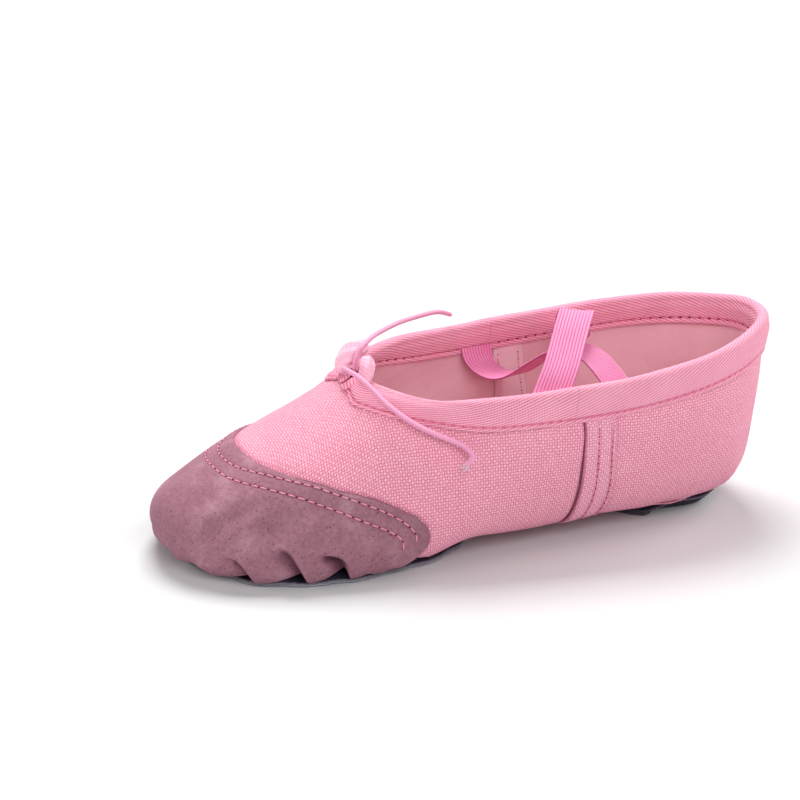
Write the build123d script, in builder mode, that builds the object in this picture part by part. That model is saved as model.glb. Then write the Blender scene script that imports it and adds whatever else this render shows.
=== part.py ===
"""Soft canvas ballet shoe with a split sole, a drawstring and two crossing elastics.

The heel points to +y and the toe to -y, z is up from the ground and +x is the wearer's left.
Every layer of the upper is an offset of one design surface with two parameters:
  station  0 at the heel centre, 1 at the toe centre by way of +x, 2 back at the heel
  level    0 at the turned-under bottom edge, 1 at the crest of the topline
Offsets ("..._OUT") run along the outward normal; drops run down the surface from the crest.
"""
from build123d import *
import os
import numpy as np

os.makedirs("parts", exist_ok=True)

# ---------------------------------------------------------------- driving dimensions (mm)
CANVAS_OUT = -0.50      # outer face of the canvas
CANVAS_T = 0.70
LINING_OUT = -1.30      # outer face of the lining
LINING_T = 0.40
CAP_OUT = 0.46          # outer face of the suede toe cap
CAP_T = 0.80
TAPE_OUT = -1.80        # seam tapes on the inner face of the lining
TAPE_T = 0.40
TAB_OUT = -1.80         # sewn ends of the elastics
TAB_T = 0.70
TAB_TOP_DROP = 5.0
TAB_BOTTOM_DROP = 10.9
FOLD_R = 1.10           # inner radius of the binding's rolled top edge
BIND_T = 0.75
BIND_MID = -1.50        # middle of the roll
ROLL_DROP = FOLD_R + BIND_T
BIND_OUT = BIND_MID + ROLL_DROP
BIND_OUT_DROP = 11.0    # how far the binding reaches down outside
BIND_IN_DROP = 10.6     # and inside
LEG_TOP_DROP = ROLL_DROP + 0.8    # last row of each straight leg below the roll
TAPE_TOP_DROP = BIND_IN_DROP + 0.5
EDGE_DROP = 3.25        # raw top edge of canvas and lining
CORD_D = 1.4            # elastic drawstring
FRONT_CORD_D = 1.0      # its runs inside the front binding
FOLD_END_R = 2.2        # folded ends of the binding at the throat
ELASTIC_W = 10.5
ELASTIC_T = 0.8
ELASTIC_TURN = 9.0      # length over which an elastic turns flat to the wall
STITCH_L = 2.0
STITCH_W = 0.45
STITCH_T = 0.25
STITCH_PITCH = 3.2
STITCH_END = 0.5        # bare length at each end of a row
BIND_STITCH_DROP = 8.6
OUTSOLE_T = 1.1
HEEL_SOLE_T = 1.8
INSOLE_T = 1.5

# stations and gaps in station units
SEAM_GAP = 0.0012       # half clearance at a sewn joint
CORD_GAP = 2.5 * SEAM_GAP
ROW_GAP = 0.004         # binding stitch rows stop this far from the binding's ends
THROAT = 0.955          # front end of the left front binding
CORD_THROAT = THROAT - 0.022
SIDE_TAPE_REACH = 0.046
HEEL_TAPE_HALF = 0.036
SIDE_ROW_OFFSETS = (0.010, 0.036)    # side seam stitch rows, behind the seam

# half outlines from heel centre to toe centre, one per level: x, y, z
OUTLINE_LEVELS = [0, .1, .28, .54, .80, 1.0]
HALF_OUTLINES = [
    [(0, 84, 5.5), (8, 82.5, 4.8), (14, 77.5, 3.8), (17.5, 69, 3.0), (19, 56, 2.4),
     (19.5, 41, 2.2), (20, 24, 2.2), (21.5, 7, 2.2), (24, -10, 2.0), (27, -27, 1.8),
     (28, -44, 1.8), (26.5, -59, 1.8), (21.5, -73, 1.8), (12.5, -84, 2.2), (0, -88.5, 2.4)],
    [(0, 91, 11.0), (9, 89.4, 9.8), (16.3, 83.9, 7.8), (20.8, 75, 6.0), (23.8, 61, 4.6),
     (25.2, 45, 4.0), (26, 27, 3.8), (27.6, 9, 3.6), (30.4, -9.5, 3.2), (33.2, -28, 2.6),
     (34.2, -46, 2.4), (32.6, -63, 2.4), (26.8, -79, 2.6), (15.5, -91, 3.4), (0, -95.2, 4.4)],
    [(0, 95.2, 22), (10, 93.6, 21), (18.8, 87, 19.2), (24.8, 77, 17.2), (28.5, 62, 15.6),
     (30.4, 45.5, 14.6), (31.3, 28, 14), (32.3, 9.5, 13.4), (34, -9, 12.8), (35.5, -28, 12.2),
     (35.6, -47, 11.8), (33.4, -65, 12), (27.4, -81, 12.6), (15.6, -93.8, 13.6),
     (0, -98.6, 14.4)],
    [(0, 97.2, 37.5), (9.8, 95.4, 37), (18.6, 88.6, 35.6), (25.8, 78.5, 33.8),
     (30.8, 64.5, 31.8), (33.2, 48.5, 30.2), (34, 32.5, 29.2), (34.3, 16, 29),
     (34.2, -0.5, 29.1), (33.6, -17, 29.3), (31.8, -34.5, 29.3), (28.2, -51.5, 28.7),
     (22.2, -66.5, 27.8), (12.5, -78.5, 27.1), (0, -83.5, 27.0)],
    [(0, 98.8, 49.8), (9.6, 96.7, 49.5), (18.2, 89.8, 48.3), (25.8, 79.6, 46.7),
     (31.6, 66, 44.7), (34.2, 51, 43), (35.1, 36, 41.9), (34.8, 20.8, 41.3),
     (33.9, 6, 41.3), (32.4, -8.5, 41.5), (28.8, -23, 42.0), (23.2, -35, 42.3),
     (16.4, -44.5, 42.5), (8.6, -50.4, 42.6), (0, -52.6, 42.8)],
    [(0, 99.6, 60.6), (9.2, 97.4, 60.3), (17, 90.3, 59.5), (24.4, 80.5, 58.3),
     (30.1, 67, 56.7), (33.1, 52, 54.9), (34.2, 37, 53.5), (33.8, 22.5, 52.5),
     (32.7, 9, 51.7), (31.6, -3.5, 51.1), (29.2, -14, 50.8), (24.2, -22.5, 50.6),
     (16.8, -29.4, 51.1), (8.5, -34, 51.7), (0, -35.6, 52)],
]

# side seam between quarter and vamp: its station at each level
SEAM_LEVELS = [0, .25, .5, .8, 1]
SEAM_STATIONS = [.452, .447, .462, .490, .508]

# top edge of the toe cap and its two stitch rows, left half to toe centre: station, level
CAP_EDGE = [
    (.632, .262), (.639, .309), (.660, .367), (.692, .418), (.722, .459), (.751, .489),
    (.779, .513), (.810, .544), (.840, .565), (.873, .585), (.912, .605), (.965, .624),
    (1.0, .628)]
CAP_STITCH_ROWS = [
    [(.652, .250), (.655, .301), (.684, .374), (.729, .440), (.773, .490),
     (.821, .538), (.868, .565), (.899, .577), (.952, .583), (1.0, .588)],
    [(.665, .225), (.674, .298), (.716, .368), (.759, .423), (.804, .473),
     (.851, .510), (.894, .530), (.935, .541), (.979, .553), (1.0, .555)]]

# folded binding ends: x, y, z of the middle and tilt from z towards x (radians)
FOLD_ENDS = [(-3.6, -38.2, 55.6, -0.47), (4.1, -37.4, 55.2, 0.42)]
FOLD_END_STEPS = (-1.2, 0.0, 1.2)    # sphere centres along each fold

# drawstring outside the binding: x, y, z
LEFT_EXIT = [(0.7, -40.2, 52.2), (1.2, -40.9, 53.6), (2.6, -41.3, 54.3)]
RIGHT_EXIT = [(0.35, -37.2, 53.4), (0.25, -36.9, 55.8), (0.0, -36.0, 58.0)]
LEFT_TAIL = [
    (3.6, -41.3, 54.4), (7.5, -40.2, 54.3), (12.5, -38.2, 52.9), (18.9, -35.6, 49.9),
    (24.8, -31.9, 46.7), (29.1, -27.2, 43.9), (32.6, -20.4, 40.9), (34.6, -15.2, 38.2),
    (35.4, -13.3, 35.4), (35.5, -14.9, 33.4)]
RIGHT_TAIL = [
    (-0.2, -35.2, 59.0), (-2.0, -32.2, 60.6), (-7.0, -26.8, 60.9), (-13.0, -18.8, 60.9),
    (-19.0, -10.8, 60.0), (-25.0, -1.8, 58.8), (-28.5, 2.4, 57.4), (-32.0, 7.2, 55.0)]

# centre lines of the elastics, from the front end to the rear end: x, y, z
LEFT_ELASTIC = [
    (29.9, 12, 41.4), (28.4, 13.2, 44.6), (27.0, 15.0, 48.4), (24.9, 18.0, 53.2),
    (18, 24, 60.5), (11.2, 29.2, 65.8), (8, 31.4, 67.0), (4.6, 32.8, 65.2),
    (-8, 38, 57.9), (-20, 44.5, 50.2), (-27.0, 48.4, 45.6), (-30.3, 50, 42.6)]
RIGHT_ELASTIC = [
    (-30.2, 16.5, 41.2), (-28.4, 17.5, 38.6), (-22, 21, 36.6), (-12, 25, 42),
    (-2, 26.5, 49.5), (8, 27.5, 55.3), (17, 30.5, 57.3), (24, 34, 53.6),
    (28.4, 37.5, 47.4), (30.2, 39.6, 42.2)]

# curves that close the sole outlines across the waist: x, y
FOREFOOT_BACK_EDGE = [(-17.5, -7.0), (0, -3.0), (17.5, -7.0)]
HEEL_FRONT_EDGE = [(10.0, 46.5), (0, 45.0), (-10.0, 46.5)]


# ---------------------------------------------------------------- curves and design surface
def cubic(knots, values, periodic=False):
    """Cubic spline through values, natural at the ends or periodic."""
    knots = np.asarray(knots, float)
    values = np.asarray(values, float)
    count = len(knots)
    step = np.diff(knots)
    size = count - 1 if periodic else count
    matrix = np.zeros((size, size)) if periodic else np.eye(size)
    right = np.zeros((size,) + values.shape[1:])
    for i in range(size) if periodic else range(1, size - 1):
        before, after = step[i - 1], step[i]
        if periodic:
            matrix[i, (i - 1) % size] += before
            matrix[i, i] += 2 * (before + after)
            matrix[i, (i + 1) % size] += after
        else:
            matrix[i, i - 1:i + 2] = before, 2 * (before + after), after
        previous = values[(i - 1) % size]
        right[i] = 6 * ((values[i + 1] - values[i]) / after - (values[i] - previous) / before)
    bend = np.linalg.solve(matrix, right)
    if periodic:
        bend = np.concatenate([bend, bend[:1]])

    def evaluate(at):
        at = np.asarray(at, float)
        k = np.clip(np.searchsorted(knots, at, side="right") - 1, 0, count - 2)
        shape = at.shape + (1,) * (values.ndim - 1)
        to_next = (knots[k + 1] - at).reshape(shape)
        from_last = (at - knots[k]).reshape(shape)
        span = step[k].reshape(shape)
        return ((bend[k] * to_next ** 3 + bend[k + 1] * from_last ** 3) / (6 * span)
                + (values[k] / span - bend[k] * span / 6) * to_next
                + (values[k + 1] / span - bend[k + 1] * span / 6) * from_last)

    return evaluate


def closed_loop(half):
    """Periodic spline through a half outline and its mirror image."""
    half = np.array(half, float)
    full = np.vstack([half, (half * [-1, 1, 1])[-2:0:-1], half[:1]])
    return cubic(np.linspace(0, 2, len(full)), full, periodic=True)


LOOPS = [closed_loop(half) for half in HALF_OUTLINES]
level_weights = cubic(OUTLINE_LEVELS, np.eye(len(OUTLINE_LEVELS)))
seam = cubic(SEAM_LEVELS, SEAM_STATIONS)
SEAM_TOP = float(seam(1.0))
DELTA = 1e-3                             # parameter step for derivatives
UPPER_LEVELS = np.linspace(0.45, 1.0, 221)


def surface(station, level):
    station, level = np.broadcast_arrays(np.asarray(station, float) % 2,
                                         np.asarray(level, float))
    on_loops = np.stack([loop(station) for loop in LOOPS], 0)
    return np.einsum("...k,k...c->...c", level_weights(level), on_loops)


def unit(vectors):
    return vectors / np.linalg.norm(vectors, axis=-1, keepdims=True)


def normal(station, level):
    """Outward unit normal."""
    along = surface(station + DELTA, level) - surface(station - DELTA, level)
    up = surface(station, level + DELTA) - surface(station, level - DELTA)
    return unit(-np.cross(along, up))


def arc_lengths(points):
    steps = np.linalg.norm(np.diff(points, axis=0), axis=1)
    return np.concatenate([[0], np.cumsum(steps)])


def level_at(station, drop):
    """Level at an arc distance below the crest."""
    station, drop = np.broadcast_arrays(np.asarray(station, float), np.asarray(drop, float))
    level = np.empty(station.shape)
    for i in np.ndindex(station.shape):
        down = arc_lengths(surface(station[i], UPPER_LEVELS)[::-1])
        level[i] = np.interp(drop[i], down, UPPER_LEVELS[::-1])
    return level


def frame_at(station, drop):
    """Point, outward normal and upward tangent."""
    level = level_at(station, drop)
    up = unit(surface(station, level + DELTA) - surface(station, level - DELTA))
    return surface(station, level), normal(station, level), up


def both_halves(row):
    """Continue a (station, level) row past the toe centre onto the right half."""
    row = np.asarray(row, float)
    return np.vstack([row, np.column_stack([2 - row[-2::-1, 0], row[-2::-1, 1]])])


# ---------------------------------------------------------------- sheets and pieces
def skin(grid):
    rows = [[Vector(*map(float, point)) for point in row] for row in grid]
    return Face.make_surface_from_array_of_points(rows, tol=0.01)


def sheet(outer_grid, inner_grid):
    """Closed solid between two matching point grids."""
    outer, inner = skin(outer_grid), skin(inner_grid)
    inner_edges = list(inner.edges())
    faces = [outer, inner]
    for edge in outer.edges():
        nearest = min(inner_edges, key=lambda other: ((other @ 0.5) - (edge @ 0.5)).length)
        faces.append(Face.make_surface_from_curves(edge, nearest))
    solid = Solid(Shell(faces))
    return solid if solid.volume > 0 else Solid(Shell([-face for face in faces]))


def panel(station, level, out, thick):
    point, outward = surface(station, level), normal(station, level)
    return sheet(point + outward * out, point + outward * (out - thick))


pieces = []


def keep(builder, label):
    builder.part.label = label
    pieces.append(builder.part)
    return builder.part


def piece(label, *solids, both_sides=False):
    with BuildPart() as builder:
        for solid in solids:
            add(solid)
        if both_sides:
            mirror(about=Plane.YZ)
    return keep(builder, label)


def mirrored_piece(label, source):
    with BuildPart() as builder:
        add(source)
        mirror(about=Plane.YZ, mode=Mode.REPLACE)
    return keep(builder, label)


# ---------------------------------------------------------------- canvas and lining
def between(start, end, level, across):
    """Stations a share of the way between two edges, each a function of level."""
    return start(level) + (end(level) - start(level)) * across


def wall_grid(start, end, columns, rows):
    """Grid from the bottom edge to the raw top edge."""
    across = np.linspace(0, 1, columns)[:, None]
    # the top level depends on the station, so it is settled in two passes
    top = level_at(between(start, end, 1.0, across), EDGE_DROP)
    top = level_at(between(start, end, top, across), EDGE_DROP)
    level = top * np.linspace(0, 1, rows)
    return between(start, end, level, across), level


vamp_grid = wall_grid(lambda level: seam(level) + SEAM_GAP,
                      lambda level: 2 - seam(level) - SEAM_GAP, 65, 23)
quarter_grid = wall_grid(lambda level: SEAM_GAP,
                         lambda level: seam(level) - SEAM_GAP, 33, 23)
for layer, out, thick in (("canvas", CANVAS_OUT, CANVAS_T), ("lining", LINING_OUT, LINING_T)):
    piece(f"vamp_{layer}", panel(*vamp_grid, out, thick))
    left_quarter = piece(f"left_quarter_{layer}", panel(*quarter_grid, out, thick))
    mirrored_piece(f"right_quarter_{layer}", left_quarter)

# ---------------------------------------------------------------- suede toe cap
# columns are closer together near the two side edges
cap_side = np.array([.632, .6345, .639, .648])
cap_stations = np.concatenate([cap_side, np.linspace(.66, 1.34, 51), 2 - cap_side[::-1]])
cap_top = np.interp(cap_stations, *both_halves(CAP_EDGE).T)
piece("toe_cap", panel(cap_stations[:, None], cap_top[:, None] * np.linspace(0, 1, 19),
                       CAP_OUT, CAP_T))


# ---------------------------------------------------------------- seam tapes inside
def tape(start, end, bottom):
    top = float(level_at(start(1.0), TAPE_TOP_DROP))
    level = bottom + (top - bottom) * np.linspace(0, 1, 13)
    across = np.linspace(0, 1, 5)[:, None]
    return panel(between(start, end, level, across), level, TAPE_OUT, TAPE_T)


left_tape = piece("left_side_seam_tape", tape(lambda level: seam(level) - SEAM_GAP,
                                              lambda level: seam(level) - SIDE_TAPE_REACH,
                                              bottom=0.10))
mirrored_piece("right_side_seam_tape", left_tape)
piece("heel_seam_tape", tape(lambda level: -HEEL_TAPE_HALF, lambda level: HEEL_TAPE_HALF,
                             bottom=0.12))


# ---------------------------------------------------------------- topline binding
def binding(start, end, columns):
    """Outer leg, half-round roll over the top edge and inner leg, as one sheet."""
    station = np.linspace(start, end, columns)
    # profile rows: drop, angle of the wall direction from the outward normal
    profile = [(drop, 0.0) for drop in np.linspace(BIND_OUT_DROP, LEG_TOP_DROP, 6)]
    profile += [(ROLL_DROP, angle) for angle in np.linspace(0, np.pi, 11)]
    profile += [(drop, np.pi) for drop in np.linspace(LEG_TOP_DROP, BIND_IN_DROP, 6)]
    outer, inner = [], []
    for drop, angle in profile:
        point, outward, up = frame_at(station, drop)
        middle = point + outward * BIND_MID
        away = outward * np.cos(angle) + up * np.sin(angle)
        inner.append(middle + away * FOLD_R)
        outer.append(middle + away * (FOLD_R + BIND_T))
    return sheet(np.stack(outer, axis=1), np.stack(inner, axis=1))


left_binding = piece("topline_binding_front_left", binding(SEAM_TOP + SEAM_GAP, THROAT, 45))
mirrored_piece("topline_binding_front_right", left_binding)
piece("topline_binding_rear", binding(-SEAM_TOP + SEAM_GAP, SEAM_TOP - SEAM_GAP, 61))

# folded ends stand up at the throat, one each side of the cord slot
with BuildPart() as fold_ends:
    for x, y, z, tilt in FOLD_ENDS:
        for step in FOLD_END_STEPS:
            with Locations((x + step * np.sin(tilt), y, z + step * np.cos(tilt))):
                Sphere(FOLD_END_R)
keep(fold_ends, "binding_end_folds")


# ---------------------------------------------------------------- drawstring
def cord(points, diameter):
    with BuildPart() as builder:
        with BuildLine() as path:
            Spline(*[tuple(map(float, point)) for point in points])
        with BuildSketch(Plane(origin=path.line @ 0, z_dir=path.line % 0)):
            Circle(diameter / 2)
        sweep()
    return builder.part


def roll_centre(start, end, count):
    """Points along the middle of the binding's roll."""
    point, outward, _ = frame_at(np.linspace(start, end, count), ROLL_DROP)
    return point + outward * BIND_MID


piece("drawstring_front_runs",
      cord(roll_centre(SEAM_TOP + CORD_GAP, CORD_THROAT, 45), FRONT_CORD_D), both_sides=True)
piece("drawstring_rear_run",
      cord(roll_centre(-SEAM_TOP + CORD_GAP, SEAM_TOP - CORD_GAP, 61), CORD_D))
piece("drawstring_exits", cord(LEFT_EXIT, CORD_D), cord(RIGHT_EXIT, CORD_D))
piece("drawstring_left_tail", cord(LEFT_TAIL, CORD_D))
piece("drawstring_right_tail", cord(RIGHT_TAIL, CORD_D))


# ---------------------------------------------------------------- crossing elastics
def elastic(path, width_dir, count):
    """Flat band whose width lies along width_dir, turning to y at both ends."""
    path = np.array(path, float)
    lengths = arc_lengths(path)
    curve = cubic(lengths, path)
    at = np.linspace(0, lengths[-1], count)
    centre = curve(at)
    along = unit(curve(at + .01) - curve(at - .01))
    from_front = np.clip(at / ELASTIC_TURN, 0, 1)[:, None]
    from_rear = np.clip((lengths[-1] - at) / ELASTIC_TURN, 0, 1)[:, None]
    end_dir = np.array([0, 1, 0])
    width = (end_dir * (1 - from_front) + np.array(width_dir) * from_front * from_rear
             + end_dir * (1 - from_rear))
    width -= along * np.sum(width * along, axis=1, keepdims=True)
    width = unit(width)
    half_thick = np.cross(along, width) * ELASTIC_T / 2
    rows = [centre + width * (share * ELASTIC_W) for share in np.linspace(-.5, .5, 5)]
    return sheet(np.stack([row + half_thick for row in rows], axis=1),
                 np.stack([row - half_thick for row in rows], axis=1))


piece("left_front_elastic", elastic(LEFT_ELASTIC, (.52, .85, 0), 61))
piece("right_front_elastic", elastic(RIGHT_ELASTIC, (-.355, .935, 0), 49))


def tab(elastic_end, right=False):
    """Sewn end of an elastic, between the lining and the inner leg of the binding."""
    y_middle = elastic_end[1]
    samples = np.linspace(.30, .66, 1441)
    y = surface(samples, 0.9)[:, 1]
    # y falls as the station grows, so both are negated for the lookup
    rear, front = np.interp([-(y_middle + ELASTIC_W / 2), -(y_middle - ELASTIC_W / 2)],
                            -y, samples)
    station = np.linspace(rear, front, 6)[:, None]
    level = level_at(station, np.linspace(TAB_TOP_DROP, TAB_BOTTOM_DROP, 5))
    return panel(2 - station if right else station, level, TAB_OUT, TAB_T)


piece("elastic_front_ends", tab(LEFT_ELASTIC[0]), tab(RIGHT_ELASTIC[0], right=True))
piece("elastic_rear_ends", tab(RIGHT_ELASTIC[-1]), tab(LEFT_ELASTIC[-1], right=True))


# ---------------------------------------------------------------- soles
def outsole(label, stations, share, closing_points, thick):
    """Flat sole; its rim lies a share of the way from level 0 to level 0.1."""
    low, high = surface(stations, 0.0), surface(stations, 0.1)
    rim_points = [tuple(map(float, point)) for point in (low + (high - low) * share)[:, :2]]
    with BuildPart() as builder:
        with BuildSketch(Plane.XY):
            with BuildLine():
                rim = Spline(*rim_points)
                Spline(rim @ 1, *closing_points, rim @ 0)
            make_face()
        extrude(amount=thick)
    keep(builder, label)


outsole("forefoot_outsole", np.linspace(.625, 1.375, 25), .55, FOREFOOT_BACK_EDGE, OUTSOLE_T)
outsole("heel_outsole", np.linspace(-.33, .33, 21), .25, HEEL_FRONT_EDGE, HEEL_SOLE_T)


def insole(stations, lift, width_share):
    """Pad across the opening left by the bottom edge of the upper."""
    edge = surface(stations, 0.0)
    rows = [edge * [share * width_share, 1, 1] + [0, 0, lift]
            for share in np.linspace(-1, 1, 9)]
    bottom = np.stack(rows, axis=1)
    return sheet(bottom + [0, 0, INSOLE_T], bottom)


piece("forefoot_insole", insole(np.linspace(.965, .4545, 27), lift=1.95, width_share=0.97))
piece("heel_insole", insole(np.linspace(.4495, .06, 21), lift=2.1, width_share=0.95))


# ---------------------------------------------------------------- stitching
def stitch_row(station, level, out):
    """Separate stitches at an even pitch along a row on the design surface."""
    lengths = arc_lengths(surface(station, level) + normal(station, level) * out)

    def row_at(length):
        return np.interp(length, lengths, station), np.interp(length, lengths, level)

    count = int((lengths[-1] - 2 * STITCH_END) // STITCH_PITCH)
    middles = STITCH_END + STITCH_PITCH * (np.arange(count) + .5)
    outward = normal(*row_at(middles))
    along = surface(*row_at(middles + .5)) - surface(*row_at(middles - .5))
    along -= outward * np.sum(along * outward, axis=1, keepdims=True)
    centres = surface(*row_at(middles)) + outward * out
    planes = [Plane(origin=tuple(map(float, centre)), x_dir=tuple(map(float, x_dir)),
                    z_dir=tuple(map(float, z_dir)))
              for centre, x_dir, z_dir in zip(centres, along, outward)]
    with BuildPart() as builder:
        with Locations(*[Location(plane) for plane in planes]):
            Box(STITCH_L, STITCH_W, STITCH_T, align=(Align.CENTER, Align.CENTER, Align.MIN))
    return builder.part


def cap_stitches(row):
    smooth = cubic(np.linspace(0, 1, len(row)), row)(np.linspace(0, 1, 120))
    return stitch_row(*both_halves(smooth).T, CAP_OUT + .13)


def binding_stitches(start, end, samples):
    station = np.linspace(start, end, samples)
    return stitch_row(station, level_at(station, BIND_STITCH_DROP), BIND_OUT + .05)


piece("toe_cap_stitching", *[cap_stitches(row) for row in CAP_STITCH_ROWS])
piece("binding_stitching_front",
      binding_stitches(SEAM_TOP + ROW_GAP, THROAT - ROW_GAP, 160), both_sides=True)
piece("binding_stitching_rear",
      binding_stitches(-SEAM_TOP + ROW_GAP, SEAM_TOP - ROW_GAP, 260))

# side seam rows stop just below the outer leg of the binding
side_levels = np.linspace(.12, float(level_at(.47, BIND_OUT_DROP + .7)), 60)
piece("side_seam_stitching",
      *[stitch_row(seam(side_levels) - offset, side_levels, CANVAS_OUT + .06)
        for offset in SIDE_ROW_OFFSETS],
      both_sides=True)

for part in pieces:
    export_step(part, f"parts/{part.label}.step")
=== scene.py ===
"""A soft canvas slipper: gathered suede toe cap, bound topline with a drawstring,
two crossing elastics and a suede sole in two parts.

It stands on the floor (z = 0) with the heel at +Y and the toe at -Y. The wearer's left
is +X. Lengths are in mm unless a comment says otherwise; MM turns them into metres.

The upper is drawn on one design surface. `turn` runs round it: 0 at the heel centre, 1 at
the toe centre by the left side, 2 back at the heel by the right. `rise` runs from the
turned-under edge (0) to the crest of the topline (1). `depth` is mm below that crest.
"""
import math

import bpy
import numpy as np
from mathutils import Matrix, Vector


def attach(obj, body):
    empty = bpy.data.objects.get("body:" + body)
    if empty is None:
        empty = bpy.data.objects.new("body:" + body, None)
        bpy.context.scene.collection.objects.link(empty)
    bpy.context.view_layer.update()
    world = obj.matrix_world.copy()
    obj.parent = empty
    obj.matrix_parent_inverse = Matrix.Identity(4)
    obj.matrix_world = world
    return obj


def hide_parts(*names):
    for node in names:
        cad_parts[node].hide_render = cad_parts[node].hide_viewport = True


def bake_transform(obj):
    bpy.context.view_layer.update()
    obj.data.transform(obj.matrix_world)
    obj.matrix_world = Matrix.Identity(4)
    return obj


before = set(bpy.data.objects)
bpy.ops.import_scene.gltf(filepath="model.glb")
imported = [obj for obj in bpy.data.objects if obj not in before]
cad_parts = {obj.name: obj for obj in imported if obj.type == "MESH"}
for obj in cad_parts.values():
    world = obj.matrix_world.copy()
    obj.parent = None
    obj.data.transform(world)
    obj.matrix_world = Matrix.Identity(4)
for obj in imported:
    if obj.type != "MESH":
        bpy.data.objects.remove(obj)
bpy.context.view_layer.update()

MM = 0.001
rng = np.random.default_rng(7)

# bodies of the frame, and the two sides with their signs
HEEL, FORE = "heel_half", "forefoot_half"
SIDES = (("left", 1), ("right", -1))

# surface parameters per mm, near enough for details
SIDE_TURN_MM = .0055
TOE_TURN_MM = .0043
RISE_MM = .0105


# ---------------------------------------------------------------- curves and helpers
def cubic(knots, values, periodic=False):
    """cubic spline through values at knots, with natural ends or closed"""
    knots = np.asarray(knots, float)
    values = np.asarray(values, float)
    count = len(knots)
    gaps = np.diff(knots)
    size = count - 1 if periodic else count
    system = np.zeros((size, size))
    target = np.zeros((size,) + values.shape[1:])
    if not periodic:
        system[0, 0] = system[-1, -1] = 1
    for i in range(size) if periodic else range(1, size - 1):
        before, after = gaps[i - 1], gaps[i]
        system[i, (i - 1) % size] += before
        system[i, i] += 2 * (before + after)
        system[i, (i + 1) % size] += after
        previous = values[(i - 1) % size]
        target[i] = 6 * ((values[i + 1] - values[i]) / after - (values[i] - previous) / before)
    bend = np.linalg.solve(system, target)
    if periodic:
        bend = np.concatenate([bend, bend[:1]])

    def evaluate(x):
        x = np.asarray(x, float)
        k = np.clip(np.searchsorted(knots, x, side="right") - 1, 0, count - 2)
        shape = x.shape + (1,) * (values.ndim - 1)
        ahead = (knots[k + 1] - x).reshape(shape)
        behind = (x - knots[k]).reshape(shape)
        gap = gaps[k].reshape(shape)
        return ((bend[k] * ahead ** 3 + bend[k + 1] * behind ** 3) / (6 * gap)
                + (values[k] / gap - bend[k] * gap / 6) * ahead
                + (values[k + 1] / gap - bend[k + 1] * gap / 6) * behind)

    return evaluate


def running_length(points):
    return np.concatenate([[0], np.cumsum(np.linalg.norm(np.diff(points, axis=0), axis=1))])


def spline_through(points):
    """a spline by running length, and its whole length"""
    points = np.array(points, float)
    lengths = running_length(points)
    return cubic(lengths, points), lengths[-1]


def unit(vectors):
    return vectors / np.linalg.norm(vectors, axis=-1, keepdims=True)


def smoothstep(start, end, x):
    t = np.clip((x - start) / (end - start), 0, 1)
    return t * t * (3 - 2 * t)


def bell(x, width):
    return np.exp(-(x / width) ** 2)


def bilinear(table, a, b):
    """table value at fractional indices a, b"""
    i = np.clip(a.astype(int), 0, table.shape[0] - 2)
    j = np.clip(b.astype(int), 0, table.shape[1] - 2)
    x, y = a - i, b - j
    return (table[i, j] * (1 - x) * (1 - y) + table[i + 1, j] * x * (1 - y)
            + table[i, j + 1] * (1 - x) * y + table[i + 1, j + 1] * x * y)


def half_turn(turn):
    """the same place on the left half, 0 to 1"""
    turn = turn % 2
    return np.where(turn > 1, 2 - turn, turn)


def on_side(turn, side):
    return turn if side > 0 else 2 - turn


def pushed(points, out, distance):
    return points + out * np.asarray(distance)[..., None]


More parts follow.
